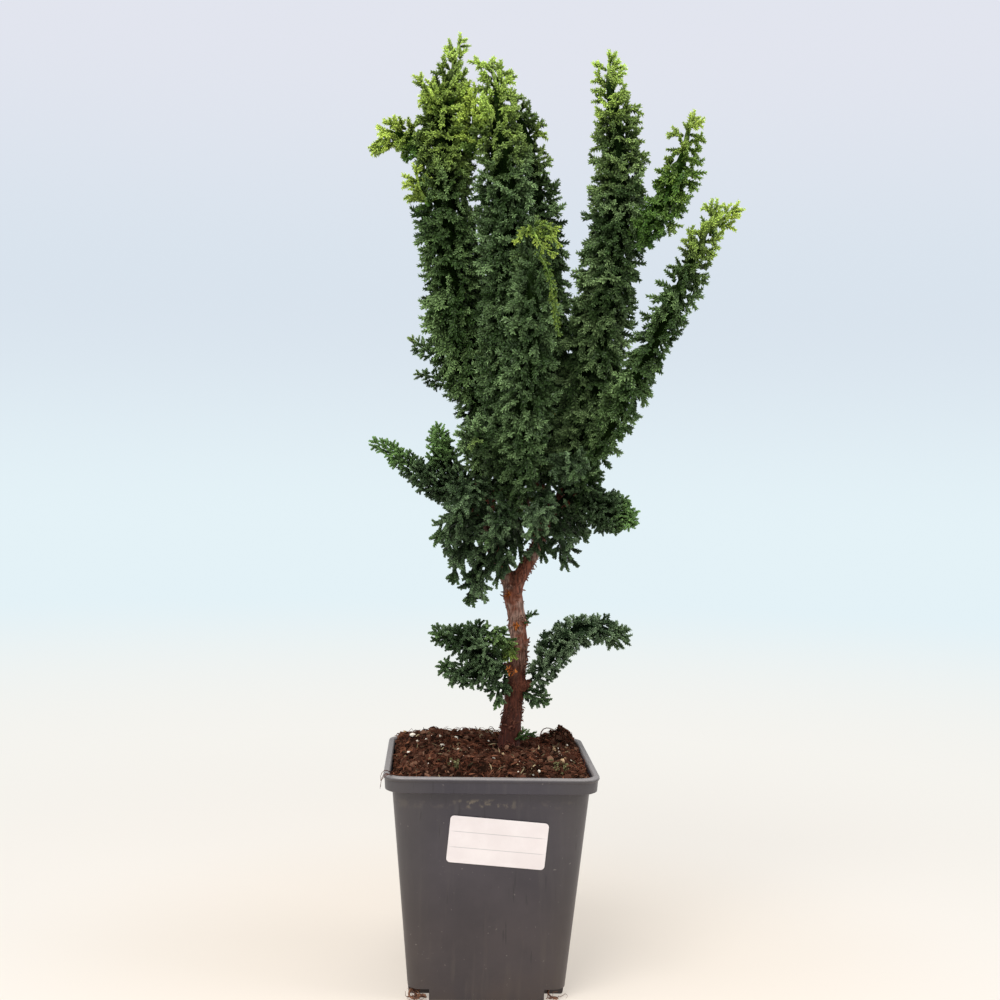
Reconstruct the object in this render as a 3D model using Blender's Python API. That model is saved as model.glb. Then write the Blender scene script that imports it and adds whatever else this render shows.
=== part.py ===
# Hinoki cypress bonsai growing in a square nursery pot, at real size.
# Metres, +Z up, the pot stands on z = 0 with its middle on the origin.
# The front of the pot, with the label, faces -Y. Sizes below are in millimetres.

import math
import random

import bmesh
import bpy
import numpy as np
from mathutils import Vector

MM = 0.001
GAP = 0.3

# Pot
POT_HEIGHT = 118.0
RIM_HALF = 55.0
RIM_INNER_HALF = 51.4
RIM_BAND = 8.3
WALL_TOP_HALF = 50.4
FLOOR_HALF = 40.0
WALL = 1.5
FLOOR = 1.8
POT_CORNER_TOP = 9.0
POT_CORNER_FLOOR = 7.0
NOTCH_WIDTH = 10.5
NOTCH_HEIGHT = 6.2
DRAIN_RADIUS = 3.2
DRAIN_PLACE = 33.6

# Soil
SOIL_EDGE = 115.0
SOIL_MOUND = 8.0
SOIL_CELLS = 18

# Trunk
TRUNK_FOOT = (10.5, 0.0, 110.0)
TRUNK_HOLE = 8.0
TRUNK_HOLE_FLOOR = 109.0

# Label
LABEL_WIDTH = 50.0
LABEL_HEIGHT = 24.5
LABEL_THICK = 0.5
LABEL_MIDDLE = (3.5, 84.0)
LABEL_TURN = -4.6

# Foliage
FINGER_GAP = 0.5
WOOD_GAP = 0.8
SEAT_GAP = 0.35


# Helpers that the pieces below share.

def clear_scene():
    for ob in list(bpy.data.objects):
        bpy.data.objects.remove(ob, do_unlink=True)


def material(name, colour, roughness, metallic=0.0):
    mat = bpy.data.materials.new(name)
    mat.use_nodes = True
    shader = mat.node_tree.nodes["Principled BSDF"]
    shader.inputs["Base Color"].default_value = (*colour, 1.0)
    shader.inputs["Roughness"].default_value = roughness
    shader.inputs["Metallic"].default_value = metallic
    mat.diffuse_color = (*colour, 1.0)
    return mat


def mesh_object(name, points, faces, mat=None):
    """A new object from points in millimetres."""
    mesh = bpy.data.meshes.new(name)
    mesh.from_pydata([tuple(c * MM for c in p) for p in points], [], faces)
    mesh.update()
    ob = bpy.data.objects.new(name, mesh)
    bpy.context.scene.collection.objects.link(ob)
    if mat:
        mesh.materials.append(mat)
    return ob


def outward(ob):
    bm = bmesh.new()
    bm.from_mesh(ob.data)
    bmesh.ops.recalc_face_normals(bm, faces=bm.faces)
    bm.to_mesh(ob.data)
    bm.free()


def bake(ob):
    """Keep what the modifiers make and drop the modifiers."""
    graph = bpy.context.evaluated_depsgraph_get()
    mesh = bpy.data.meshes.new_from_object(ob.evaluated_get(graph))
    ob.modifiers.clear()
    ob.data = mesh


def combine(ob, others, operation):
    """One boolean with a collection of closed shapes, which are then removed."""
    group = bpy.data.collections.new(ob.name + "_tools")
    bpy.context.scene.collection.children.link(group)
    for other in others:
        for home in list(other.users_collection):
            home.objects.unlink(other)
        group.objects.link(other)
        other.hide_render = True
        other.display_type = "WIRE"
    step = ob.modifiers.new("combine", "BOOLEAN")
    step.operation = operation
    step.solver = "EXACT"
    step.operand_type = "COLLECTION"
    step.collection = group
    bpy.context.view_layer.update()
    bake(ob)
    for other in others:
        bpy.data.objects.remove(other, do_unlink=True)
    bpy.data.collections.remove(group)


def rounded_square(half, corner, z, steps=3):
    """Points round a square with round corners, anticlockwise from above."""
    ring = []
    for quarter in range(4):
        middle = math.radians(45 + 90 * quarter)
        cx = math.copysign(half - corner, math.cos(middle))
        cy = math.copysign(half - corner, math.sin(middle))
        for i in range(steps + 1):
            a = math.radians(90 * quarter + 90 * i / steps)
            ring.append((cx + corner * math.cos(a), cy + corner * math.sin(a), z))
    return ring


def loft(name, rings):
    """Closed shape through rings that all have the same number of points."""
    points = [p for ring in rings for p in ring]
    n = len(rings[0])
    faces = []
    for k in range(len(rings) - 1):
        for i in range(n):
            j = (i + 1) % n
            faces.append((k * n + i, k * n + j, (k + 1) * n + j, (k + 1) * n + i))
    faces.append(tuple(reversed(range(n))))
    top = (len(rings) - 1) * n
    faces.append(tuple(top + i for i in range(n)))
    return mesh_object(name, points, faces)


def box(name, low, high):
    (x0, y0, z0), (x1, y1, z1) = low, high
    points = [(x, y, z) for z in (z0, z1) for x, y in ((x0, y0), (x1, y0), (x1, y1), (x0, y1))]
    faces = [(3, 2, 1, 0), (4, 5, 6, 7), (0, 1, 5, 4), (1, 2, 6, 5), (2, 3, 7, 6), (3, 0, 4, 7)]
    return mesh_object(name, points, faces)


def cylinder(name, x, y, radius, z0, z1, sides=16):
    rings = []
    for z in (z0, z1):
        ring = []
        for i in range(sides):
            a = math.tau * i / sides
            ring.append((x + radius * math.cos(a), y + radius * math.sin(a), z))
        rings.append(ring)
    return loft(name, rings)


def smooth_route(points, spacing):
    """A smooth curve through hand-placed points, resampled evenly."""
    pts = [Vector(p) for p in points]
    pts = [2 * pts[0] - pts[1]] + pts + [2 * pts[-1] - pts[-2]]
    fine = []
    for k in range(1, len(pts) - 2):
        p0, p1, p2, p3 = pts[k - 1:k + 3]
        for i in range(12):
            t = i / 12
            fine.append(0.5 * (2 * p1 + (p2 - p0) * t
                               + (2 * p0 - 5 * p1 + 4 * p2 - p3) * t * t
                               + (3 * p1 - p0 - 3 * p2 + p3) * t ** 3))
    fine.append(pts[-2])
    run = [0.0]
    for a, b in zip(fine, fine[1:]):
        run.append(run[-1] + (b - a).length)
    count = max(2, round(run[-1] / spacing))
    route = []
    k = 0
    for i in range(count + 1):
        want = run[-1] * i / count
        while k < len(run) - 2 and run[k + 1] < want:
            k += 1
        part = (want - run[k]) / max(run[k + 1] - run[k], 1e-9)
        route.append(fine[k].lerp(fine[k + 1], min(max(part, 0.0), 1.0)))
    return route


def frames(route):
    """Tangent and two side directions at each point, without twist."""
    tangents = []
    for i in range(len(route)):
        a = route[max(i - 1, 0)]
        b = route[min(i + 1, len(route) - 1)]
        tangents.append((b - a).normalized())
    side = tangents[0].orthogonal().normalized()
    out = []
    for t in tangents:
        side = (side - t * side.dot(t)).normalized()
        out.append((t, side, t.cross(side)))
    return out


# The pot: a tapered square box with a band at its rim, open corners and drain holes.

def pot_half(z):
    """Half width of the pot's outside wall at height z."""
    return FLOOR_HALF + (WALL_TOP_HALF - FLOOR_HALF) * z / (POT_HEIGHT - RIM_BAND)


def pot_corner(z):
    return POT_CORNER_FLOOR + (POT_CORNER_TOP - POT_CORNER_FLOOR) * z / POT_HEIGHT


def corner_boxes(name, inner, top):
    """Four boxes over the pot's bottom corners, from the inner line out."""
    boxes = []
    for sx in (-1, 1):
        for sy in (-1, 1):
            xs = sorted((sx * inner, sx * 70.0))
            ys = sorted((sy * inner, sy * 70.0))
            boxes.append(box(name, (xs[0], ys[0], -5.0), (xs[1], ys[1], top)))
    return boxes


def inside_shape(name, shrink, top, edge_top):
    """The room inside the pot, smaller by shrink, stepped up at the corners."""
    under = POT_HEIGHT - RIM_BAND
    rings = []
    for z, half in (
        (FLOOR + shrink, pot_half(FLOOR) - WALL - shrink),
        (under - 1.5, pot_half(under - 1.5) - WALL - shrink),
        (under + 2.0, RIM_INNER_HALF - 0.4 - shrink),
        (top, edge_top - shrink),
    ):
        rings.append(rounded_square(half, pot_corner(z) - WALL - shrink * 0.5, z))
    shape = loft(name, rings)
    step = FLOOR_HALF - NOTCH_WIDTH - WALL - shrink
    combine(shape, corner_boxes("step", step, NOTCH_HEIGHT + WALL + shrink), "DIFFERENCE")
    return shape


def make_pot():
    under = POT_HEIGHT - RIM_BAND
    rings = [
        rounded_square(FLOOR_HALF - 0.6, POT_CORNER_FLOOR, 0.0),
        rounded_square(FLOOR_HALF, POT_CORNER_FLOOR, 0.7),
        rounded_square(WALL_TOP_HALF, POT_CORNER_TOP - 0.3, under),
        rounded_square(RIM_HALF - 1.0, POT_CORNER_TOP + 1.6, under + 0.01),
        rounded_square(RIM_HALF - 0.8, POT_CORNER_TOP + 1.8, under + 0.6),
        rounded_square(RIM_HALF, POT_CORNER_TOP + 2.0, POT_HEIGHT - 1.0),
        rounded_square(RIM_HALF - 0.3, POT_CORNER_TOP + 1.8, POT_HEIGHT - 0.3),
        rounded_square(RIM_HALF - 1.0, POT_CORNER_TOP + 1.5, POT_HEIGHT),
    ]
    pot = loft("pot", rings)
    room = inside_shape("room", 0.0, POT_HEIGHT + 1.0, RIM_INNER_HALF + 0.1)
    combine(pot, [room], "DIFFERENCE")
    cuts = corner_boxes("notch", FLOOR_HALF - NOTCH_WIDTH, NOTCH_HEIGHT)
    for sx in (-1, 1):
        for sy in (-1, 1):
            cuts.append(cylinder("drain", sx * DRAIN_PLACE, sy * DRAIN_PLACE,
                                 DRAIN_RADIUS, NOTCH_HEIGHT - 1.0, NOTCH_HEIGHT + WALL + 1.0))
    combine(pot, cuts, "DIFFERENCE")
    pot.data.materials.clear()
    pot.data.materials.append(material("pot_plastic", (0.075, 0.07, 0.073), 0.42))
    return pot


# The soil: one body that fills the pot and mounds up to the trunk.

def soil_top(x, y):
    """Height of the soil, mounded to the trunk and a little higher at the back."""
    reach = max(abs(x), abs(y)) / 51.0
    mound = SOIL_MOUND * (1 - reach ** 4)
    back = 2.5 * math.sin(max(0.0, y) / 51.0 * 2.2)
    bumps = 0.9 * math.sin(x * 0.31 + 1.1) * math.sin(y * 0.27 + 0.4)
    bumps += 0.7 * math.sin(x * 0.83 + y * 0.41) * math.cos(y * 0.77 - x * 0.29 + 2.0)
    clump = 4.5 * math.exp(-((x - 36) ** 2 + (y - 30) ** 2) / 60.0)
    return SOIL_EDGE + mound + back + bumps + clump


def make_soil():
    rng = random.Random(5)
    n = SOIL_CELLS
    half = RIM_INNER_HALF - 1.0
    round_part = 6.5
    points = []
    for i in range(n + 1):
        for j in range(n + 1):
            x = half * (2 * i / n - 1)
            y = half * (2 * j / n - 1)
            ax = abs(x) - (half - round_part)
            ay = abs(y) - (half - round_part)
            if ax > 0 and ay > 0:
                fit = max(ax, ay) / math.hypot(ax, ay)
                x = math.copysign(half - round_part + ax * fit, x)
                y = math.copysign(half - round_part + ay * fit, y)
            edge = i in (0, n) or j in (0, n)
            if not edge:
                x += rng.uniform(-0.9, 0.9)
                y += rng.uniform(-0.9, 0.9)
            z = soil_top(x, y)
            if not edge:
                z += rng.uniform(-0.8, 0.8)
            points.append((x, y, z))
    faces = []
    for i in range(n):
        for j in range(n):
            a = i * (n + 1) + j
            faces.append((a, a + n + 1, a + n + 2, a + 1))
    rim = [i * (n + 1) for i in range(n)]
    rim += [n * (n + 1) + j for j in range(n)]
    rim += [(n - i) * (n + 1) + n for i in range(n)]
    rim += [n - j for j in range(n)]
    count = len(points)
    points += [(points[k][0], points[k][1], 112.6) for k in rim]
    for k in range(len(rim)):
        m = (k + 1) % len(rim)
        faces.append((count + k, count + m, rim[m], rim[k]))
    faces.append(tuple(count + k for k in reversed(range(len(rim)))))
    soil = mesh_object("soil", points, faces)
    outward(soil)
    filling = inside_shape("filling", GAP, 113.4, RIM_INNER_HALF - 0.3)
    combine(soil, [filling], "UNION")
    hole = cylinder("hole", TRUNK_FOOT[0], TRUNK_FOOT[1], TRUNK_HOLE, TRUNK_HOLE_FLOOR, 140.0, 12)
    combine(soil, [hole], "DIFFERENCE")
    soil.data.materials.clear()
    soil.data.materials.append(material("soil_peat", (0.045, 0.026, 0.018), 0.95))
    return soil


# The trunk: it forks in two, and its twigs reach into every shoot.

# Each piece of wood: side count, and its route as (x, y, z, radius).
WOOD = (
    (9, ((10.5, 0, 110, 6.6), (10.5, 0, 119, 6.8), (11, 0, 127, 5.9), (12.5, -2, 143, 4.9),
         (13.5, -1, 157, 4.8), (15, 0, 172, 4.6), (14, 0, 190, 4.7), (11.5, 0, 203, 5.0),
         (10.5, 0, 212, 4.9))),
    (7, ((11, 0, 207, 4.2), (5, 3, 220, 3.9), (-1, 5, 232, 3.5), (-4, 8, 246, 3.1))),
    (7, ((11, 0, 205, 4.2), (17, 1, 219, 3.9), (24, 3, 232, 3.5), (29, 3, 247, 3.2))),
    (5, ((-3.5, 7, 243, 2.9), (-6, 12, 255, 2.6), (-9, 16, 266, 2.2))),
    (5, ((-3, 7, 244, 2.8), (-1, 2, 255, 2.4), (2, -3, 264, 2.1))),
    (5, ((-2, 6, 236, 2.6), (-8, 2, 247, 2.2), (-14, -3, 254, 1.8))),
    (5, ((28.5, 3, 244, 2.9), (28, 9, 256, 2.5), (27, 14, 266, 2.2))),
    (5, ((28.5, 3, 244, 2.9), (34, 3, 256, 2.6), (39, 4, 266, 2.2))),
    (5, ((34, 3, 254, 2.3), (43, -6, 259, 2.1), (49, -10.5, 268, 1.9))),
    (5, ((24, 3, 234, 2.6), (20, -7, 247, 2.3), (14, -16, 259, 2.0))),
    (5, ((29, 3, 246, 2.4), (36, -3, 253, 2.0), (43, -7, 257, 1.7))),
    (5, ((-7, 13, 257, 2.2), (-5, 19, 265, 1.9), (-3, 23, 272, 1.7))),
    (5, ((28, 10, 257, 2.2), (25, 18, 265, 1.9), (23, 23, 272, 1.7))),
    (5, ((34, 4, 255, 2.1), (42, 11.5, 261, 1.9), (46.5, 15, 271, 1.7))),
    (5, ((13.5, -1, 164, 2.9), (10, -5, 166.5, 2.4), (6.8, -7.4, 167.6, 2.0))),
    (5, ((13.5, -1, 154, 2.9), (18.5, -3, 156.5, 2.4), (22.5, -4.4, 158.8, 2.0))),
    (5, ((12, -1, 135.5, 2.3), (9, -3, 136.8, 2.1), (6.4, -4.4, 138, 1.8))),
)


def bark(angle, z, radius):
    """Radius of the wood with the long ridges of flaking bark."""
    ridge = math.sin(angle * 3 + z * 0.13) * math.sin(angle * 2 - z * 0.31 + 1.0)
    knots = 0.5 * math.sin(z * 0.9 + angle * 2)
    return radius * (1.0 + 0.07 * ridge + 0.04 * knots)


def wood_tube(name, sides, stations):
    along = [Vector(s[:3]) for s in stations]
    route = along
    if sides > 4:
        route = smooth_route(along, 7.5 if sides > 5 else 11.0)
    rings = []
    for p, (t, u, v) in zip(route, frames(route)):
        near = sorted(range(len(along)), key=lambda k: (along[k] - p).length)[:2]
        d = [(along[k] - p).length + 1e-6 for k in near]
        r = (stations[near[0]][3] / d[0] + stations[near[1]][3] / d[1]) / (1 / d[0] + 1 / d[1])
        ring = []
        for i in range(sides):
            a = math.tau * i / sides
            q = p + (u * math.cos(a) + v * math.sin(a)) * bark(a, p.z, r)
            ring.append(tuple(q))
        rings.append(ring)
    return loft(name, rings)


def stem_stations(row):
    """A thin stem from the wood to just short of where the shoot's leaves begin."""
    core, root, points = row[1], row[6], row[7]
    start = Vector(points[0])
    along = (Vector(points[1]) - start).normalized()
    end = start - along * (cap_depth(core) + SEAT_GAP)
    thick = min(1.7, 0.5 + core * 0.25)
    bend = end - along * min(3.0, 0.4 * (end - Vector(root)).length)
    return ((*root, thick + 0.2), (*bend, thick), (*end, thick * 0.85))


def all_wood():
    return list(WOOD) + [(4, stem_stations(row)) for row in SHOOTS if row[6]]


def make_trunk():
    tubes = [wood_tube("wood", sides, stations) for sides, stations in all_wood()]
    for tube in tubes:
        outward(tube)
    trunk = tubes[0]
    trunk.name = "trunk"
    combine(trunk, tubes[1:], "UNION")
    trunk.data.materials.clear()
    trunk.data.materials.append(material("trunk_bark", (0.105, 0.042, 0.03), 0.85))
    return trunk


# The label: a thin sticker on the front wall.

def make_label():
    """Blank sticker laid on the sloping front wall."""
    outline = []
    w, h, r = LABEL_WIDTH / 2, LABEL_HEIGHT / 2, 2.0
    for quarter, (sx, sy) in enumerate(((1, 1), (-1, 1), (-1, -1), (1, -1))):
        for i in range(5):
            a = math.radians(90 * quarter + 90 * i / 4)
            outline.append((sx * (w - r) + r * math.cos(a), sy * (h - r) + r * math.sin(a)))
    slope = math.atan((WALL_TOP_HALF - FLOOR_HALF) / (POT_HEIGHT - RIM_BAND))
    turn = math.radians(LABEL_TURN)
    mx, mz = LABEL_MIDDLE
    origin = Vector((mx, -pot_half(mz), mz))
    right = Vector((1, 0, 0))
    up = Vector((0, -math.sin(slope), math.cos(slope)))
    out = Vector((0, -math.cos(slope), -math.sin(slope)))
    rings = []
    for lift in (GAP, GAP + LABEL_THICK):
        ring = []
        for x, y in outline:
            rx = x * math.cos(turn) - y * math.sin(turn)
            ry = x * math.sin(turn) + y * math.cos(turn)
            ring.append(tuple(origin + right * rx + up * ry + out * lift))
        rings.append(ring)
    label = loft("label", rings)
    outward(label)
    label.data.materials.append(material("label_paper", (0.88, 0.84, 0.84), 0.5))
    return label


# The roots: thin threads that have grown out of the front drain holes.

ROOTS = (
    ("roots_left", 0.8, ((-33.6, -33.6, 7.6), (-33.8, -34.6, 5.6), (-35.5, -36.6, 3.6),
                         (-38.8, -36.0, 4.4), (-39.6, -39.4, 2.6), (-37.0, -40.6, 1.4),
                         (-34.6, -39.4, 2.4), (-32.4, -41.2, 3.8), (-31.0, -39.6, 1.8),
                         (-33.0, -37.4, 1.2), (-36.0, -37.4, 1.2), (-38.6, -37.2, 1.2),
                         (-40.6, -38.4, 1.4))),
    ("roots_right", 0.7, ((33.6, -33.6, 7.6), (33.4, -34.6, 5.6), (31.6, -37.4, 3.8),
                          (32.6, -40.4, 3.0), (35.2, -40.6, 1.6), (36.8, -38.4, 1.2),
                          (34.6, -37.2, 1.2), (32.0, -38.8, 1.1))),
)


def make_root(name, radius, points):
    route = smooth_route(points, 2.2)
    rings = []
    for k, (p, (t, u, v)) in enumerate(zip(route, frames(route))):
        r = radius * (1.0 - 0.4 * k / len(route))
        rings.append([tuple(p + (u * math.cos(a) + v * math.sin(a)) * r)
                      for a in (math.tau * i / 5 for i in range(5))])
    root = loft(name, rings)
    outward(root)
    root.data.materials.append(material(name + "_skin", (0.12, 0.06, 0.035), 0.85))
    return root


# The foliage: leafy shoots, each one closed core with short fingers all over it.

# Leafy shoots: name, core radius, finger length, cells round, pitch, colour,
# where its stem leaves the wood (None for one that grows out of another shoot), route.
DARK = (0.022, 0.06, 0.026)
MIDDLE = (0.035, 0.085, 0.03)
BLUE = (0.02, 0.058, 0.034)
LIGHT = (0.075, 0.15, 0.03)

SHOOTS = (
    ("shoot_left_leader", 9.5, 10.5, 6, 9.2, MIDDLE, (-8.6, 15.6, 264),
     ((-9, 17, 268), (-8, 18, 295), (-13, 18, 313), (-21, 18, 338), (-26, 15, 372), (-30, 10, 415),
      (-29, 5, 455), (-26, 1, 494))),
    ("shoot_middle", 8.5, 9.6, 6, 9.0, DARK, (1.6, -2.6, 262),
     ((3, -4, 266), (5, -6, 300), (5, -7, 345), (3, -7, 390), (1, -6, 430), (-4, -5, 460),
      (-11, -4, 481))),
    ("shoot_inner_right", 7.4, 9.2, 6, 9.2, DARK, (27, 13.6, 264),
     ((27, 15, 268), (31, 17, 300), (30, 18, 345), (27, 16, 385), (24, 14, 420),
      (20, 11, 448), (13, 8, 468), (5, 5, 479))),
    ("shoot_front", 7.2, 9.2, 6, 8.6, DARK, (14.8, -14.6, 257),
     ((13, -18, 261), (13, -24, 290), (15, -29, 320), (16, -32, 352), (14, -32, 389))),
    ("shoot_right_leader", 10.0, 10.0, 6, 9.2, DARK, (38, 4, 264),
     ((40, 4, 268), (46, 5, 295), (52, 4, 325), (58, 1, 360), (62, -1, 395), (64, -1, 430),
      (62, 1, 458), (57, 2, 487))),
    ("shoot_right_side", 4.8, 7.8, 5, 7.0, LIGHT, None,
     ((72, -9, 394), (79, -11, 405), (86, -13, 416), (93, -15, 430), (98, -13, 444),
      (100, -12, 454))),
    ("shoot_far_right", 6.0, 8.8, 5, 7.6, MIDDLE, (47.6, -9.6, 266),
     ((49, -12, 271), (57, -16, 291), (68, -20, 315), (81, -23, 346), (94, -24, 376),
      (104, -23, 398), (109, -22, 411))),
    ("shoot_back_left", 6.5, 8.5, 6, 9.8, DARK, (-3.6, 22, 270),
     ((-2, 25, 274), (-1, 34, 305), (-4, 38, 345), (-10, 36, 385), (-14, 30, 412))),
    ("shoot_back_middle", 6.5, 8.5, 6, 9.8, DARK, (23.4, 22, 270),
     ((22, 25, 274), (25, 34, 305), (30, 41, 345), (31, 38, 380), (29, 33, 402))),
    ("shoot_back_right", 6.5, 8.5, 6, 9.8, DARK, (45.6, 14.4, 269),
     ((48, 16, 274), (53, 23, 302), (57, 28, 335), (58, 27, 365), (56, 23, 386))),
    ("spray_top_left", 4.0, 7.5, 5, 6.6, LIGHT, None,
     ((-42, 8, 443), (-51, 9, 449.5), (-59, 10, 450), (-65, 10, 446))),
    ("spray_right_hanging", 3.2, 6.5, 4, 6.0, DARK, None,
     ((83, -18, 404), (87.5, -19, 400), (90.5, -19, 394.5))),
    ("spray_far_right_tip", 2.8, 6.2, 4, 5.8, LIGHT, None,
     ((109, -21, 399), (116, -19, 406), (121, -18, 411))),
    ("spray_left_arm", 3.4, 6.6, 5, 6.4, BLUE, (-12.6, -2, 252.4),
     ((-15, -4, 256), (-27, -9, 262), (-38, -12, 268), (-48, -14, 275), (-58, -16, 281),
      (-63, -16, 284))),
    ("spray_left_upper", 3.6, 7.0, 5, 6.6, BLUE, (-6, 11, 254),
     ((-19, -4, 266), (-26, -12, 275), (-30, -16, 285), (-31, -17, 293))),
    ("spray_right_arm", 5.4, 9.0, 5, 6.8, BLUE, (41, -6, 256.2),
     ((45, -8.5, 255.5), (54, -11, 253), (64, -13, 250), (70, -14, 249))),
    ("spray_hanging_left", 3.8, 7.8, 5, 6.6, BLUE, (-7, 3, 245.6),
     ((-12, -8, 247), (-20, -13, 245), (-27, -15, 241), (-32, -16, 236))),
    ("spray_hanging_left_low", 3.8, 7.6, 5, 6.6, BLUE, (-1.5, 5.5, 234),
     ((-9, -6, 238), (-16, -11, 232), (-21, -14, 224), (-23, -15, 216))),
    ("spray_hanging_left_front", 3.8, 7.6, 5, 6.6, BLUE, (0, 4.6, 229.4),
     ((-4, -4, 230), (-7, -8, 222), (-10, -10, 214), (-12, -11, 206))),
    ("spray_hanging_middle", 3.2, 6.8, 4, 6.0, BLUE, (-1.5, 5.5, 234.6),
     ((3, -6, 237), (4, -12, 232), (3, -15, 224), (2, -16, 216))),
    ("spray_hanging_back_left", 3.8, 7.6, 5, 6.8, BLUE, (-4.6, 9.5, 249),
     ((-11, 17, 250), (-18, 23, 243), (-24, 27, 234), (-27, 29, 226))),
    ("spray_hanging_right_near", 3.0, 6.4, 4, 6.0, BLUE, (26, 3, 238.6),
     ((22, -7, 241.5), (24, -11, 235.5), (26, -13.5, 229))),
    ("spray_hanging_right", 3.4, 7.0, 5, 6.4, BLUE, (29, 3, 245.6),
     ((33, -6, 246), (35, -10, 239), (37, -12, 231), (38, -12, 225))),
    ("spray_hanging_right_far", 3.4, 7.0, 4, 6.2, BLUE, (32.6, 3, 252.6),
     ((40, 3, 252), (45, 1, 245), (48, -1, 239))),
    ("spray_hanging_back_right", 3.8, 7.6, 5, 6.8, BLUE, (28.2, 8, 253.6),
     ((35, 15, 252), (41, 22, 247), (46, 28, 240))),
    ("spray_back_low", 3.8, 7.6, 5, 6.8, BLUE, (-3, 7, 243),
     ((11, 12, 246), (10, 22, 245), (10, 31, 240), (10, 36, 234))),
    ("spray_front_left", 4.0, 7.8, 5, 6.8, BLUE, (-0.6, 1, 256),
     ((-7, -12, 261), (-13, -21, 262), (-18, -28, 257), (-21, -32, 250))),
    ("spray_front_middle", 4.0, 7.8, 5, 6.8, BLUE, (17, -11.6, 252.6),
     ((8, -16, 253), (4, -22, 250), (0, -27, 244), (-3, -30, 237))),
    ("spray_front_right", 4.0, 7.8, 5, 6.8, BLUE, (20.4, -6.6, 246.6),
     ((25, -13, 258), (24, -22, 256), (21, -29, 250), (18, -33, 243))),
    ("spray_front_far_right", 3.8, 7.6, 5, 6.8, BLUE, (42, -5, 258.4),
     ((36, -12, 273), (38, -23, 277), (39, -31, 276), (40, -36, 272))),
    ("spray_front_upper", 3.8, 7.6, 5, 6.8, DARK, None,
     ((-8, -14, 284), (-11, -23, 288), (-12, -30, 290), (-12, -35, 288))),
    ("spray_low_left", 3.8, 7.6, 5, 6.4, BLUE, (8, -6.6, 167.2),
     ((4, -9, 169), (-4, -15, 173), (-13, -20, 178), (-22, -24, 182), (-31, -27, 184))),
    ("spray_low_left_upper", 3.0, 6.2, 4, 5.8, BLUE, None,
     ((-2, -12, 181), (-6, -13, 187), (-9, -14, 192))),
    ("spray_low_left_under", 3.6, 7.2, 5, 6.4, BLUE, (12.4, -3, 163.6),
     ((2, -12, 164.3), (-8, -19, 165), (-18, -24, 166.5), (-25, -26, 169))),
    ("spray_low_left_inner", 2.8, 5.8, 4, 5.4, BLUE, (12.4, -2, 156.6),
     ((6, -8.5, 157.5), (3.5, -12.5, 154), (3, -14, 150))),
    ("spray_low_front_tuft", 3.4, 6.6, 5, 6.0, MIDDLE, (13, -3, 170),
     ((8, -9, 174), (7, -13, 181), (7, -14, 188))),
    ("spray_low_right", 3.8, 7.4, 5, 6.2, BLUE, (21.6, -4.2, 158.2),
     ((25, -6, 161), (30, -10, 170), (34, -13, 179), (42, -16, 186), (53, -18, 188.5),
      (62, -19, 187), (69, -20, 183))),
    ("spray_low_right_under", 2.8, 5.8, 4, 5.4, BLUE, (14, -2, 152.4),
     ((20.5, -6, 153), (25, -9, 150), (30, -10, 149))),
    ("sprig_on_trunk", 1.4, 3.2, 4, 3.2, MIDDLE, (14.6, 0, 189),
     ((19.4, -2, 190), (22, -3, 193), (24, -4, 196))),
    ("sprig_at_base", 1.8, 3.8, 4, 3.6, MIDDLE, (12, -1, 126.6),
     ((18.2, -4, 127), (20.5, -6, 129.5), (22, -7, 132.5))),
)


def swell(part, length):
    """Thickness along a shoot, thinner where it starts and tapering to the tip."""
    start = min(1.0, 0.6 + part * length * 0.03)
    taper = min(0.45 * length, 45.0)
    end = min(1.0, 0.34 + 0.66 * (1.0 - part) * length / taper)
    return start * end


def cap_depth(core):
    return min(1.0, core * 0.25)


def space_points():
    """Sample points of every shoot with its local reach, and of the wood."""
    owners = []
    spots = []
    for index, (name, core, finger, cells, pitch, colour, root, points) in enumerate(SHOOTS):
        route = smooth_route(points, 2.0)
        length = 2.0 * (len(route) - 1)
        for k, p in enumerate(route):
            owners.append(index)
            spots.append((*p, (core + finger) * swell(k / (len(route) - 1), length)))
    wood = []
    for sides, stations in all_wood():
        route = smooth_route([s[:3] for s in stations], 1.5)
        along = [Vector(s[:3]) for s in stations]
        for p in route:
            near = min(range(len(along)), key=lambda k: (along[k] - p).length)
            wood.append((*p, stations[near][3] * 1.08))
    return np.array(owners), np.array(spots), np.array(wood)


def has_room(index, points, space):
    """True where every point is nearer to its own shoot and clear of the wood."""
    owners, spots, wood = space
    p = np.array([tuple(q) for q in points])
    reach = np.linalg.norm(p[:, None, :] - spots[None, :, :3], axis=2) - spots[None, :, 3]
    own = reach[:, owners == index].min(axis=1)
    other = reach[:, owners != index].min(axis=1)
    bare = (np.linalg.norm(p[:, None, :] - wood[None, :, :3], axis=2) - wood[None, :, 3]).min(axis=1)
    return bool(((other - own) > FINGER_GAP).all() and (bare > WOOD_GAP).all())


def largest_fit(least, fits):
    """The largest part of full size, down to the least, that still fits."""
    if fits(1.0):
        return 1.0
    low, high = least, 1.0
    for _ in range(5):
        half = (low + high) / 2
        if fits(half):
            low = half
        else:
            high = half
    return low


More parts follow.
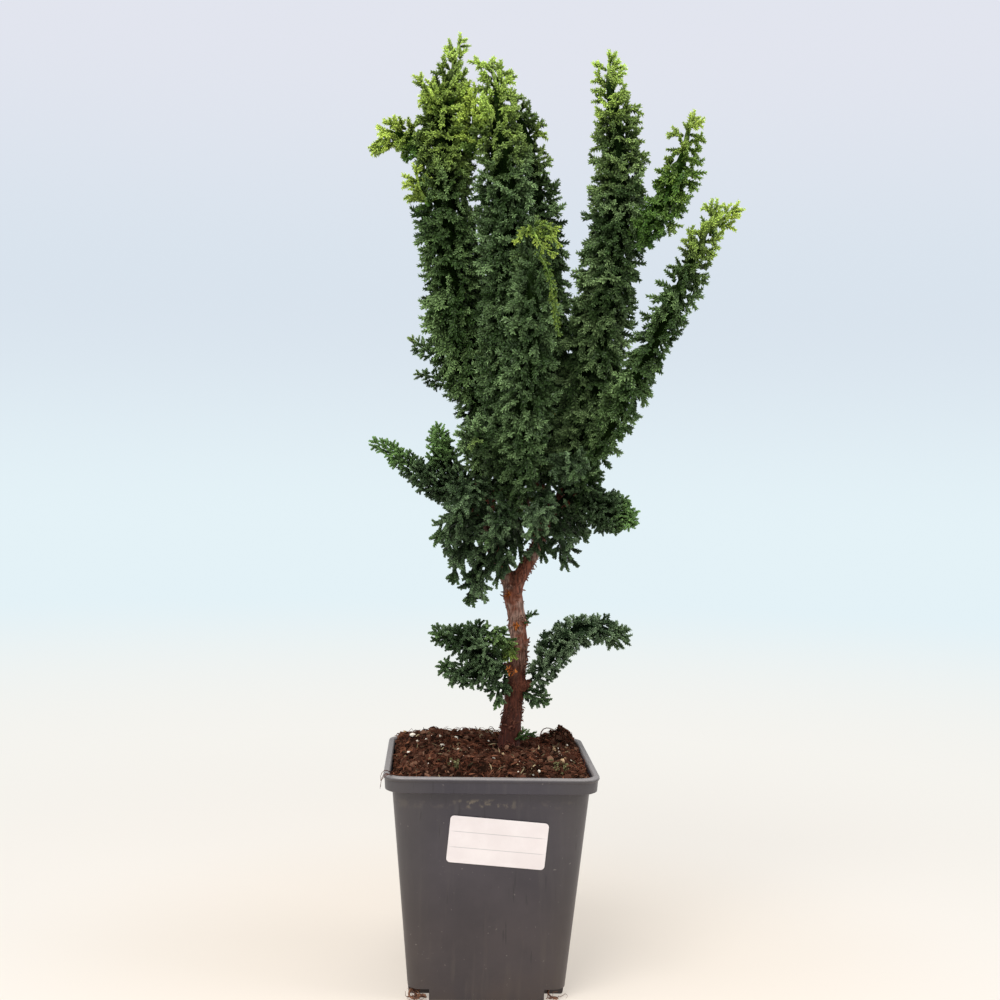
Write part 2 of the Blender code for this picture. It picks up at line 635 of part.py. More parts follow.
def make_shoot(index, row, space):
    """A closed core whose every cell is raised into a short blunt finger."""
    name, core, finger, cells, pitch, colour, root, points = row
    rng = random.Random(100 + index)
    route = smooth_route(points, pitch)
    last = len(route) - 1
    reach = pitch * last
    axes = frames(route)
    verts = []
    for k, (p, (t, u, v)) in enumerate(zip(route, axes)):
        r = core * swell(k / last, reach)
        for j in range(cells):
            a = math.tau * (j + 0.5 * k) / cells
            out = u * math.cos(a) + v * math.sin(a)
            fit = largest_fit(0.2, lambda f: has_room(index, [p + out * r * f], space))
            verts.append(p + out * r * fit)
    faces = []
    for k in range(last):
        for j in range(cells):
            a = k * cells + j
            b = k * cells + (j + 1) % cells
            d = a + cells
            c = b + cells
            middle = (verts[a] + verts[b] + verts[c] + verts[d]) / 4
            axis = (route[k] + route[k + 1]) / 2
            t = axes[k][0]
            out = (middle - axis)
            out = (out - t * out.dot(t)).normalized()
            tip_part = (k + 0.5) / last
            lean = rng.uniform(-0.55, 0.1) + 1.1 * max(0.0, tip_part - 0.6) * 2.5
            aim = (out + t * lean + t.cross(out) * rng.uniform(-0.25, 0.25)).normalized()
            length = finger * swell(tip_part, reach) ** 0.5 * rng.uniform(0.72, 1.12)
            across = aim.cross(t).normalized()
            roll = rng.uniform(-0.7, 0.7)
            across = across * math.cos(roll) + aim.cross(across) * math.sin(roll)
            if across.dot(verts[b] - verts[a]) < 0:
                across = -across
            width = length * rng.uniform(0.25, 0.33)

            def blade(f):
                shoulder = middle + aim * length * 0.7 * f
                return [shoulder - across * width * f, shoulder + across * width * f,
                        middle + aim * length * f]

            fit = largest_fit(0.12, lambda f: has_room(index, blade(f), space))
            s1 = len(verts)
            verts += blade(fit)
            s2, top = s1 + 1, s1 + 2
            faces += [(a, b, s2), (a, s2, top), (a, top, s1), (b, c, s2),
                      (c, d, s1), (c, s1, top), (c, top, s2), (d, a, s1)]
    t = axes[0][0]
    verts.append(route[0] - t * cap_depth(core))
    for j in range(cells):
        faces.append((len(verts) - 1, (j + 1) % cells, j))
    t = axes[-1][0]
    verts.append(route[-1] + t * finger * 0.95)
    for j in range(cells):
        faces.append((last * cells + j, last * cells + (j + 1) % cells, len(verts) - 1))
    return mesh_object(name, verts, faces, material(name + "_leaf", colour, 0.6))


def make_foliage():
    space = space_points()
    for index, row in enumerate(SHOOTS):
        make_shoot(index, row, space)


def main():
    clear_scene()
    make_pot()
    make_soil()
    make_trunk()
    make_label()
    for row in ROOTS:
        make_root(*row)
    make_foliage()


main()
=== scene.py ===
import math
import random

import bpy
from mathutils import Euler, Matrix, Vector


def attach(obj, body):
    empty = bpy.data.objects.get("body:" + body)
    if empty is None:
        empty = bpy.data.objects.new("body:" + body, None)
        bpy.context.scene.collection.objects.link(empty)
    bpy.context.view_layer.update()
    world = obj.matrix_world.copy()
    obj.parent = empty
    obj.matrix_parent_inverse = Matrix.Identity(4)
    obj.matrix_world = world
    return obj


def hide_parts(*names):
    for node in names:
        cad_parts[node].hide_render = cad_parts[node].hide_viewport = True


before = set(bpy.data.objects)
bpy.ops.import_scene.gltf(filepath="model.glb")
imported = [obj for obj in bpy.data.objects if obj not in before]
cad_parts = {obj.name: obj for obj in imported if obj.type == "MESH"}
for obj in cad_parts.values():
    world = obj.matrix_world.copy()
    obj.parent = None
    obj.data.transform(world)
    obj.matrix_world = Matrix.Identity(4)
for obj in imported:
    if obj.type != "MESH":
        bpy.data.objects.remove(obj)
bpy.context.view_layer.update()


# The view. The photographer stood about 75 cm in front of the pot with a normal lens, level
# with the lower crown, and looked very slightly down. The camera rolls a little clockwise.
view_from = Vector((-0.0312, -0.7447, 0.2741))
view_turn = math.radians(2.64)
view_dip = math.radians(-1.39)
view_roll = math.radians(1.26)
lens = bpy.data.cameras.new("normal_lens")
lens.lens = 50.0
lens.sensor_width = 36.0
camera = bpy.data.objects.new("front_view", lens)
bpy.context.scene.collection.objects.link(camera)
ahead = Vector((math.sin(view_turn) * math.cos(view_dip),
                math.cos(view_turn) * math.cos(view_dip), math.sin(view_dip)))
level = Vector((math.cos(view_turn), -math.sin(view_turn), 0.0))
lift = level.cross(ahead)
right = level * math.cos(view_roll) + lift * math.sin(view_roll)
upward = lift * math.cos(view_roll) - level * math.sin(view_roll)
camera.matrix_world = Matrix((
    (right.x, upward.x, -ahead.x, view_from.x),
    (right.y, upward.y, -ahead.y, view_from.y),
    (right.z, upward.z, -ahead.z, view_from.z),
    (0.0, 0.0, 0.0, 1.0)))
bpy.context.scene.camera = camera
bpy.context.scene.view_settings.view_transform = "Standard"


# The pot. A square tapered nursery pot, moulded in one piece from dark grey polypropylene. It
# has a stiffening band with a beaded lip, and cut-out corners with a drain hole under each.
mm = 0.001
pot_top = 118.0
band_low = 109.7
foot_half = 40.0
wall_flare = 10.4
pot_wall = 1.5
corner_cut = 10.5
corner_cut_top = 6.2
drain_place = 33.6
drain_radius = 3.2
drain_sides = 20


def wall_half(z):
    """Half the pot's width at height z, on the outside of its plain wall."""
    return foot_half + wall_flare * z / band_low


def rounded_square(half, corner, z, steps=8):
    """Points round a square with round corners, anticlockwise from above, in metres."""
    ring = []
    for quarter in range(4):
        middle = math.radians(45 + 90 * quarter)
        cx = math.copysign(half - corner, math.cos(middle))
        cy = math.copysign(half - corner, math.sin(middle))
        for i in range(steps + 1):
            a = math.radians(90 * quarter + 90 * i / steps)
            ring.append(((cx + corner * math.cos(a)) * mm, (cy + corner * math.sin(a)) * mm,
                         z * mm))
    return ring


def new_object(name, points, edges, faces):
    """An object with a mesh of its own, put in the scene."""
    mesh = bpy.data.meshes.new(name)
    mesh.from_pydata([tuple(p) for p in points], edges, faces)
    made = bpy.data.objects.new(name, mesh)
    bpy.context.scene.collection.objects.link(made)
    return made


def mesh_piece(name, points, faces, material, sharp=35):
    """A mesh object with one material, shaded smooth except over sharp edges."""
    piece = new_object(name, points, [], faces)
    piece.data.materials.append(material)
    piece.data.shade_smooth()
    piece.data.set_sharp_from_angle(angle=math.radians(sharp))
    return piece


def loft(name, rings, material):
    """A closed shape through rings that all have the same number of points."""
    points = [p for ring in rings for p in ring]
    n = len(rings[0])
    faces = []
    for k in range(len(rings) - 1):
        for i in range(n):
            j = (i + 1) % n
            faces.append((k * n + i, k * n + j, (k + 1) * n + j, (k + 1) * n + i))
    faces.append(tuple(reversed(range(n))))
    faces.append(tuple((len(rings) - 1) * n + i for i in range(n)))
    return mesh_piece(name, points, faces, material)


def plain_mesh(piece):
    """Puts the evaluated shape in place of the mesh and drops the modifiers."""
    graph = bpy.context.evaluated_depsgraph_get()
    done = bpy.data.meshes.new_from_object(piece.evaluated_get(graph))
    done.name = piece.name
    piece.modifiers.clear()
    piece.data = done


def cut_away(piece, tools):
    """Cuts the tool shapes out of the piece, one after the other, and deletes them."""
    for tool in tools:
        cut = piece.modifiers.new("cut", "BOOLEAN")
        cut.operation = "DIFFERENCE"
        cut.solver = "EXACT"
        cut.object = tool
    plain_mesh(piece)
    for tool in tools:
        bpy.data.objects.remove(tool)


class Nodes:
    """The nodes of one material or node group, added one by one from inputs to outputs."""

    def __init__(self, tree):
        self.tree = tree

    def give(self, socket, value):
        """Links an output to the socket, or sets the socket to a plain value or colour."""
        if isinstance(value, bpy.types.NodeSocket):
            self.tree.links.new(value, socket)
        elif socket.type == "RGBA":
            socket.default_value = (*value, 1)
        else:
            socket.default_value = value

    def add(self, kind, sockets=(), **settings):
        """A node with its settings, and a value or a link for each of its named inputs."""
        node = self.tree.nodes.new(kind)
        for name, value in settings.items():
            setattr(node, name, value)
        for key, value in dict(sockets).items():
            self.give(node.inputs[key], value)
        return node

    def maths(self, operation, a, b=0.0):
        return self.add("ShaderNodeMath", {0: a, 1: b}, operation=operation).outputs[0]

    def plus(self, a, b):
        return self.maths("ADD", a, b)

    def minus(self, a, b):
        return self.maths("SUBTRACT", a, b)

    def times(self, a, b):
        return self.maths("MULTIPLY", a, b)

    def grade(self, value, low, high, to_low=0.0, to_high=1.0):
        """A value brought from one range to another, held at both ends."""
        return self.add("ShaderNodeMapRange", {0: value, 1: low, 2: high, 3: to_low, 4: to_high},
                        interpolation_type="SMOOTHSTEP").outputs[0]

    def noise(self, where, scale, detail, rough=0.5):
        """A cloudy noise. Without a place it takes the point that is being made."""
        sockets = {"Scale": scale, "Detail": detail, "Roughness": rough}
        if where is not None:
            sockets["Vector"] = where
        return self.add("ShaderNodeTexNoise", sockets).outputs[0]

    def drawn_out(self, place, scale, turn=(0.0, 0.0, 0.0)):
        """A place scaled along each axis, which draws out the noise that is laid on it."""
        return self.add("ShaderNodeMapping", {"Vector": place, "Scale": scale,
                        "Rotation": turn}).outputs[0]

    def place(self):
        return self.add("ShaderNodeTexCoord").outputs["Object"]

    def axis(self, place, which):
        return self.add("ShaderNodeSeparateXYZ", {0: place}).outputs[which]

    def painted(self, name):
        """A value that the mesh holds under a name, as the shader reads it."""
        return self.add("ShaderNodeAttribute", attribute_name=name).outputs["Fac"]

    def mix(self, share, a, b, blend="MIX"):
        """The colour between a and b at the given share."""
        return self.add("ShaderNodeMix", {0: share, 6: a, 7: b}, data_type="RGBA",
                        blend_type=blend).outputs[2]

    def layers(self, colour, *layers):
        """Colours laid over a first one, each with its share and, if it has one, its blend."""
        for share, over, *blend in layers:
            colour = self.mix(share, colour, over, *blend)
        return colour

    def surface(self, colour, roughness, height, strength, distance, specular=0.5):
        """Gives the material's shader its colour, its gloss and a bump from a height."""
        bump = self.add("ShaderNodeBump", {"Strength": strength, "Distance": distance,
                        "Height": height})
        shader = self.tree.nodes["Principled BSDF"]
        for name, value in (("Base Color", colour), ("Roughness", roughness),
                            ("Specular IOR Level", specular), ("Normal", bump.outputs[0])):
            self.give(shader.inputs[name], value)


def new_material(name):
    """A material with a Principled shader, returned with its nodes."""
    material = bpy.data.materials.new(name)
    material.use_nodes = True
    return material, Nodes(material.node_tree)


def new_group(nodes, name, inputs, outputs, kind):
    """A node group. Each input is named with its first value, or with its kind of socket."""
    group = bpy.data.node_groups.new(name, kind)
    kinds = {bool: "Bool", int: "Int", float: "Float"}
    for socket, value in inputs.items():
        plain = type(value) in kinds
        made = group.interface.new_socket(socket, in_out="INPUT", socket_type="NodeSocket" + (
            kinds[type(value)] if plain else value))
        if plain:
            made.default_value = value
    for socket, value in outputs.items():
        group.interface.new_socket(socket, in_out="OUTPUT", socket_type="NodeSocket" + value)
    made = nodes(group)
    made.given = group.nodes.new("NodeGroupInput").outputs
    made.results = group.nodes.new("NodeGroupOutput").inputs
    return made


# Dust and wear lie on the pot and on its sticker: cloudy blotches, and small pale specks.
dust = new_group(Nodes, "dust_and_wear", {
    "Position": "Vector", "Blotch Size": 30.0, "Speck Size": 900.0},
    {"Blotches": "Float", "Specks": "Float"}, "ShaderNodeTree")
given = dust.given
blotch = dust.noise(given["Position"], given["Blotch Size"], 5.0, 0.6)
dust.give(dust.results["Blotches"], dust.grade(blotch, 0.35, 0.68))
speck = dust.noise(given["Position"], given["Speck Size"], 2.0)
dust.give(dust.results["Specks"], dust.grade(speck, 0.715, 0.78))

pot_plastic, look = new_material("pot_plastic")
place = look.place()
height = look.axis(place, 2)
sideways = look.axis(place, 0)
wear = look.add("ShaderNodeGroup", {"Position": place, "Blotch Size": 26.0,
                "Speck Size": 650.0}, node_tree=dust.tree).outputs
streak = look.noise(look.drawn_out(place, (260.0, 260.0, 9.0)), 1.0, 3.0, 0.55)
scuff = look.noise(look.drawn_out(place, (420.0, 60.0, 45.0), (0.0, 0.6, 0.3)), 1.0, 2.0)
# Painted reflection: each wall is painted lighter towards its corners, where it would catch the
# bright surroundings at a grazing angle.
corner_sheen_reach = look.maths("MINIMUM", look.maths("ABSOLUTE", sideways),
                   look.maths("ABSOLUTE", look.axis(place, 1)))
# Painted highlight: a pale line along the top of the lip.
lip_highlight = look.grade(height, 0.1165, 0.1178)
foot_dirt = look.times(look.grade(height, 0.022, 0.0, 0.0, 0.5), wear["Blotches"])
browned = look.grade(height, 0.085, 0.025)
below_band = look.times(look.grade(height, 0.1005, 0.1030), look.grade(height, 0.1070, 0.1045))
from_middle = look.maths("ABSOLUTE", look.plus(sideways, 0.004))
muddy = look.times(below_band, look.grade(from_middle, 0.020, 0.007, 0.15, 1.0))
mud = look.times(look.grade(look.noise(place, 240.0, 3.0), 0.50, 0.66, 0.0, 0.8), muddy)
colour = look.mix(wear["Blotches"], (0.036, 0.0312, 0.0415), (0.051, 0.0440, 0.0555))
colour = look.layers(
    colour,
    (look.grade(streak, 0.5, 0.75, 0.0, 0.35), (0.085, 0.077, 0.077)),
    (look.grade(corner_sheen_reach, 0.022, 0.05, 0.0, 0.6), (0.072, 0.064, 0.062)),
    (lip_highlight, (0.24, 0.225, 0.225)),
    (foot_dirt, (0.06, 0.042, 0.032)),
    (browned, (0.95, 0.86, 0.75), "MULTIPLY"),
    (look.grade(scuff, 0.66, 0.74, 0.0, 0.45), (0.014, 0.012, 0.015)),
    (mud, (0.20, 0.165, 0.12)),
    (look.times(wear["Specks"], 0.35), (0.3, 0.27, 0.24)))
look.surface(colour, look.grade(streak, 0.3, 0.8, 0.36, 0.52), look.noise(place, 2600.0, 2.0),
             0.16, 0.0002)

# Each ring of the pot's outside, and of the room inside it, is half its width, its corner
# radius and its height in mm.
shell_rings = (
    (39.2, 6.6, 0.0), (39.8, 7.0, 0.3), (40.15, 7.0, 1.2), (50.3, 8.7, band_low - 0.5),
    (50.5, 8.9, band_low - 0.05), (53.2, 10.2, band_low), (53.9, 10.8, band_low + 0.35),
    (54.0, 10.9, band_low + 1.0), (54.35, 11.0, 115.4), (54.75, 11.0, 115.9),
    (55.0, 11.0, 116.5), (54.95, 11.0, 117.3), (54.6, 10.8, 117.8), (54.0, 10.4, pot_top),
    (52.6, 9.8, pot_top))
room_rings = (
    (wall_half(1.8) - pot_wall, 5.6, 1.8), (wall_half(108.2) - pot_wall, 7.2, 108.2),
    (51.0, 7.6, 111.7), (51.4, 7.9, 117.0), (51.9, 8.2, 117.75), (53.0, 8.6, 118.6))
pot = loft("pot_shell", [rounded_square(*ring) for ring in shell_rings], pot_plastic)
room = loft("room", [rounded_square(*ring) for ring in room_rings], pot_plastic)
corners = [(sx, sy) for sx in (-1, 1) for sy in (-1, 1)]


def corner_boxes(inner, top):
    """A box over each bottom corner of the pot, from the inner line out."""
    boxes = []
    for sx, sy in corners:
        x0, x1 = sorted((sx * inner * mm, sx * 0.07))
        y0, y1 = sorted((sy * inner * mm, sy * 0.07))
        ring = [(x0, y0), (x1, y0), (x1, y1), (x0, y1)]
        boxes.append(loft("corner", [[(x, y, z) for x, y in ring] for z in (-0.005, top * mm)],
                          pot_plastic))
    return boxes


cut_away(room, corner_boxes(foot_half - corner_cut - pot_wall, corner_cut_top + pot_wall))
drains = []
for sx, sy in corners:
    ring = [(sx * drain_place + drain_radius * math.cos(math.tau * i / drain_sides),
             sy * drain_place + drain_radius * math.sin(math.tau * i / drain_sides))
            for i in range(drain_sides)]
    drains.append(loft("drain", [[(x * mm, y * mm, z * mm) for x, y in ring]
                                 for z in (corner_cut_top - 1, corner_cut_top + 3)],
                       pot_plastic))
cut_away(pot, [room] + corner_boxes(foot_half - corner_cut, corner_cut_top) + drains)
pot.data.shade_smooth()
pot.data.set_sharp_from_angle(angle=math.radians(32))
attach(pot, "root")
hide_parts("pot")



# The roots. Thin brown roots have grown out of the front drain holes and curl in the cut-out
# corners. Each is a round thread that thins to its end, with finer threads beside it.
root_skin, look = new_material("root_skin")
bands = look.noise(look.place(), 420.0, 4.0)
look.surface(look.mix(look.grade(bands, 0.35, 0.65), (0.075, 0.03, 0.018),
                      (0.23, 0.105, 0.055)), 0.7, bands, 0.4, 0.0003)


class Growth(Nodes):
    """The nodes of a geometry tree, which makes plain geometry from the given geometry."""

    def stored(self, name, kind="FLOAT"):
        """A value that the geometry holds under a name."""
        return self.add("GeometryNodeInputNamedAttribute", {"Name": name},
                        data_type=kind).outputs["Attribute"]

    def keep(self, geometry, name, value, kind="FLOAT", domain="POINT"):
        """Stores a value on the geometry under a name."""
        return self.add("GeometryNodeStoreNamedAttribute", {
            "Geometry": geometry, "Name": name, "Value": value}, data_type=kind,
            domain=domain).outputs[0]

    def vector(self, operation, a, b):
        return self.add("ShaderNodeVectorMath", {0: a, 1: b}, operation=operation).outputs[0]

    def scaled(self, vector, scale):
        return self.add("ShaderNodeVectorMath", {0: vector, "Scale": scale},
                        operation="SCALE").outputs[0]

    def compare(self, a, how, b):
        return self.add("FunctionNodeCompare", {0: a, 1: b}, data_type="FLOAT",
                        operation=how).outputs[0]

    def chance(self, low, high, seed):
        """A number between low and high, drawn for each point."""
        return self.add("FunctionNodeRandomValue", {2: low, 3: high, "Seed": seed},
                        data_type="FLOAT").outputs[1]

    def chance_vector(self, low, high, seed):
        return self.add("FunctionNodeRandomValue", {0: low, 1: high, "Seed": seed},
                        data_type="FLOAT_VECTOR").outputs[0]

    def aligned(self, vector):
        """The turn that brings the Z axis to the vector."""
        return self.add("FunctionNodeAlignRotationToVector", {"Vector": vector},
                        axis="Z").outputs[0]

    def turned(self, first, then):
        return self.add("FunctionNodeRotateRotation", {0: first, 1: then},
                        rotation_space="LOCAL").outputs[0]

    def smooth_line(self, step):
        """A smooth curve through the points of the given mesh, cut into even steps."""
        line = self.add("GeometryNodeMeshToCurve", {"Mesh": self.given["Geometry"]})
        line = self.add("GeometryNodeCurveSplineType", {"Curve": line.outputs[0]},
                        spline_type="CATMULL_ROM")
        return self.add("GeometryNodeResampleCurve", {"Curve": line.outputs[0],
                        "Length": step}, mode="LENGTH").outputs[0]

    def tube(self, line, sides, radius):
        """A closed tube round a curve."""
        ring = self.add("GeometryNodeCurvePrimitiveCircle", {"Resolution": sides, "Radius": 1.0})
        return self.add("GeometryNodeCurveToMesh", {"Curve": line, "Fill Caps": True,
                        "Profile Curve": ring.outputs[0], "Scale": radius}).outputs[0]

    def raised(self, geometry, height):
        """The geometry with each point moved out along its normal."""
        normal = self.add("GeometryNodeInputNormal").outputs[0]
        return self.add("GeometryNodeSetPosition", {
            "Geometry": geometry, "Offset": self.scaled(normal, height)}).outputs[0]

    def shape_of(self, piece, as_instance=False):
        return self.add("GeometryNodeObjectInfo", {
            "Object": piece, "As Instance": as_instance}).outputs["Geometry"]

    def laid(self, points, shape, turn, scale, more=()):
        """A copy of the shape on each point."""
        return self.add("GeometryNodeInstanceOnPoints", {
            "Points": points, "Instance": shape, "Rotation": turn, "Scale": scale,
            **dict(more)}).outputs[0]

    def spread(self, ground, sockets):
        """Points over the ground, no two closer than the given distance."""
        return self.add("GeometryNodeDistributePointsOnFaces", {
            "Mesh": ground, "Distance Min": self.given["Apart"], "Seed": self.given["Seed"],
            **sockets}, distribute_method="POISSON").outputs

    def realize(self, geometry):
        return self.add("GeometryNodeRealizeInstances", {"Geometry": geometry}).outputs[0]

    def finish(self, geometry):
        """Puts the material on the geometry and hands it out."""
        whole = self.add("GeometryNodeSetMaterial", {
            "Geometry": geometry, "Material": self.given["Material"]}).outputs[0]
        self.give(self.results["Geometry"], whole)


def new_growth(name, inputs):
    """A geometry tree with these inputs besides its geometry and its material."""
    return new_group(Growth, name, {"Geometry": "Geometry", **inputs, "Material": "Material"},
                     {"Geometry": "Geometry"}, "GeometryNodeTree")


# A thread follows the edges of a mesh of points, as thick as the points' "thick" says.
thread = new_growth("thread", {"Step": 0.001, "Sides": 5})
line = thread.smooth_line(thread.given["Step"])
thread.finish(thread.realize(thread.tube(line, thread.given["Sides"], thread.stored("thick"))))


def run_nodes(piece, growth, values):
    """Runs a geometry tree on the piece with the named values, then keeps a plain mesh."""
    grow = piece.modifiers.new("made", "NODES")
    grow.node_group = growth.tree
    for socket in growth.tree.interface.items_tree:
        if socket.in_out == "INPUT" and socket.name in values:
            grow[socket.identifier] = values[socket.name]
    plain_mesh(piece)


def note(piece, name, values, kind="FLOAT"):
    """Writes a value or a vector for each point of the mesh, under a name."""
    piece.data.attributes.new(name, kind, "POINT").data.foreach_set(
        "value" if kind == "FLOAT" else "vector", values)


def lines_object(name, lines, attribute):
    """A mesh of open lines. Each point is (x, y, z, value) in mm, the value being kept."""
    points, edges, values = [], [], []
    for line in lines:
        first = len(points)
        for x, y, z, value in line:
            points.append((x * mm, y * mm, z * mm))
            values.append(value * mm)
        edges += [(first + i, first + i + 1) for i in range(len(line) - 1)]
    piece = new_object(name, points, edges, [])
    note(piece, attribute, values)
    return piece


def wander(rng, start, way, steps, step, turn, thick, floor=None):
    """A line that starts one way and wanders, thinning to its end."""
    point, way, line = Vector(start), Vector(way).normalized(), []
    for i in range(steps):
        line.append((*point, thick * (1.0 - 0.75 * i / steps)))
        way = (way + Vector([rng.gauss(0, turn) for _ in range(3)])).normalized()
        point = point + way * step
        if floor is not None and point.z < floor(point.x, point.y):
            point.z = floor(point.x, point.y)
            way.z = abs(way.z) * 0.5
    return line


root_routes = (
    ("roots_left", 0.8, ((-33.6, -33.6, 7.6), (-33.8, -34.6, 5.6), (-35.5, -36.6, 3.6),
                         (-38.8, -36.0, 4.4), (-39.6, -39.4, 2.6), (-37.0, -40.6, 1.4),
                         (-34.6, -39.4, 2.4), (-32.4, -41.2, 3.8), (-31.0, -39.6, 1.8),
                         (-33.0, -37.4, 1.2), (-36.0, -37.4, 1.2), (-38.6, -37.2, 1.2),
                         (-40.6, -38.4, 1.4))),
    ("roots_right", 0.7, ((33.6, -33.6, 7.6), (33.4, -34.6, 5.6), (31.6, -37.4, 3.8),
                          (32.6, -40.4, 3.0), (35.2, -40.6, 1.6), (36.8, -38.4, 1.2),
                          (34.6, -37.2, 1.2), (32.0, -38.8, 1.1))))
for name, radius, route in root_routes:
    rng = random.Random(name)
    lines = [[(x, y, z, radius * (1 - 0.5 * i / len(route)) * 0.85)
              for i, (x, y, z) in enumerate(route)]]
    for i in range(14 if name == "roots_left" else 7):
        start = Vector(route[rng.randrange(1, len(route) - 2)])
        start += Vector((rng.uniform(-1, 1), rng.uniform(-1, 1), rng.uniform(0, 1)))
        line = wander(rng, start, (rng.uniform(-1, 1), rng.uniform(-1, 0.6), rng.uniform(-1, 1)),
                      12, 0.9, 0.55, rng.uniform(0.16, 0.4))
        lines.append([(min(max(x, -41.5), 41.5), min(max(y, -41.5), -31.5),
                       min(max(z, 0.4), 5.6), t) for x, y, z, t in line])
    roots = lines_object(name + "_threads", lines, "thick")
    run_nodes(roots, thread, {"Step": 0.0006, "Sides": 7, "Material": root_skin})
    roots.data.shade_smooth()
    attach(roots, "root")
    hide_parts(name)


# The soil. Dark peat fills the pot and mounds up to the trunk. It is loose on top: crumbs and
# shreds of peat, bark chips, dry bits, perlite, a few pebbles, two patches of moss and many
# fibres lie on it, all just as they fell.
soil_edge = 115.0
soil_mound = 8.0
soil_half = 51.0


def soil_height(x, y):
    """Height of the soil at x and y in mm, a little higher at the back."""
    reach = max(abs(x), abs(y)) / soil_half
    mound = soil_mound * (1 - reach ** 4)
    back = 2.5 * math.sin(max(0.0, y) / soil_half * 2.2)
    back *= 1 - 1.6 * math.exp(-((x - 24) / 14.0) ** 2)
    bumps = 0.9 * math.sin(x * 0.31 + 1.1) * math.sin(y * 0.27 + 0.4)
    bumps += 1.0 * math.sin(x * 0.83 + y * 0.41) * math.cos(y * 0.77 - x * 0.29 + 2.0)
    bumps += 0.7 * math.sin(x * 1.47 + 1.6 * math.sin(y * 0.9)) * math.sin(y * 1.33 + x * 0.2)
    clump = 6.5 * math.exp(-((x - 42) ** 2 + (y - 33) ** 2) / 30.0)
    return soil_edge + mound + back + bumps + clump



peat, look = new_material("soil_peat")
place = look.place()
crumb = look.noise(place, 700.0, 4.0, 0.7)
colour = look.mix(look.grade(look.noise(place, 60.0, 6.0, 0.65), 0.35, 0.7),
                  (0.007, 0.003, 0.0015), (0.035, 0.014, 0.008))
colour = look.mix(look.grade(crumb, 0.5, 0.72), colour, (0.075, 0.032, 0.018))
look.surface(colour, 0.92, crumb, 0.9, 0.0008, 0.05)


def grid_faces(rows, columns):
    """The faces of a sheet whose points are listed row by row."""
    return [(a, a + columns, a + columns + 1, a + 1)
            for i in range(rows - 1) for a in range(i * columns, (i + 1) * columns - 1)]


cells = 64
half = 50.4
soil_corner = 6.5
soil_gap = 0.4
rough_by = 0.45
points = []
rng = random.Random(5)
for i in range(cells + 1):
    for j in range(cells + 1):
        x = half * (2 * i / cells - 1)
        y = half * (2 * j / cells - 1)
        over_x = abs(x) - (half - soil_corner)
        over_y = abs(y) - (half - soil_corner)
        if over_x > 0 and over_y > 0:
            fit = max(over_x, over_y) / math.hypot(over_x, over_y)
            x = math.copysign(half - soil_corner + over_x * fit, x)
            y = math.copysign(half - soil_corner + over_y * fit, y)
        lumps = 0.9 * math.sin(x * 1.7 + 2 * math.sin(y * 1.3)) * math.sin(y * 1.9 + 1)
        z = soil_height(x, y) + 0.5 * lumps + rng.uniform(-rough_by, rough_by)
        points.append((x * mm, y * mm, z * mm))
faces = grid_faces(cells + 1, cells + 1)
edge = [i * (cells + 1) for i in range(cells)]
edge += [cells * (cells + 1) + j for j in range(cells)]
edge += [(cells - i) * (cells + 1) + cells for i in range(cells)]
edge += [cells - j for j in range(cells)]
above = edge
for z in (112.0, 108.0, 8.1):
    first = len(points)
    fit = (min(wall_half(z), soil_half) - pot_wall - soil_gap) / half
    points += [(points[k][0] * fit, points[k][1] * fit, z * mm) for k in edge]
    below = [first + k for k in range(len(edge))]
    for k in range(len(edge)):
        m = (k + 1) % len(edge)
        faces.append((below[k], below[m], above[m], above[k]))
    above = below
faces.append(tuple(reversed(above)))
soil = mesh_piece("soil_bed", points, faces, peat, sharp=180)
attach(soil, "root")
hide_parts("soil")

# What lies on the soil is strewn over a copy of its top, one small shape for each kind.
strewn = new_growth("strewn_bits", {
    "Bit": "Object", "Apart": 0.001, "Share": 1.0, "Least Size": 0.001, "Most Size": 0.002,
    "Rise": 0.0, "Patch Size": 0.0, "Tilt": 3.14, "Seed": 1})
given = strewn.given
patchy = strewn.grade(strewn.noise(None, given["Patch Size"], 1.0), 0.42, 0.6)
spots = strewn.spread(given["Geometry"], {
    "Density Max": 4000000.0, "Density Factor": strewn.times(given["Share"], patchy)})
size = strewn.maths("POWER", strewn.chance(0.0, 1.0, given["Seed"]), 2.2)
size = strewn.add("ShaderNodeMapRange", {0: size, 3: given["Least Size"],
                  4: given["Most Size"]}).outputs[0]
most_turn = strewn.add("ShaderNodeCombineXYZ", {0: given["Tilt"], 1: given["Tilt"],
                       2: 6.28}).outputs[0]
turn = strewn.add("FunctionNodeEulerToRotation", {
    0: strewn.chance_vector((0.0, 0.0, 0.0), most_turn, 7)}).outputs[0]
bits = strewn.laid(spots["Points"], strewn.shape_of(given["Bit"]),
                   strewn.turned(spots["Rotation"], turn), size)
bits = strewn.keep(bits, "tone", strewn.chance(0.0, 1.0, 3), domain="INSTANCE")
rise = strewn.scaled(spots["Normal"], strewn.times(given["Rise"], size))
bits = strewn.add("GeometryNodeTranslateInstances", {
    "Instances": bits, "Translation": rise, "Local Space": False}).outputs[0]
strewn.finish(strewn.realize(bits))


def strew(ground, bit, material, *values):
    """Strews copies of a small shape over the ground and takes the ground itself away."""
    names = ("Seed", "Apart", "Share", "Least Size", "Most Size", "Rise", "Patch Size", "Tilt")
    run_nodes(ground, strewn, {"Bit": bit, "Material": material, **dict(zip(names, values))})


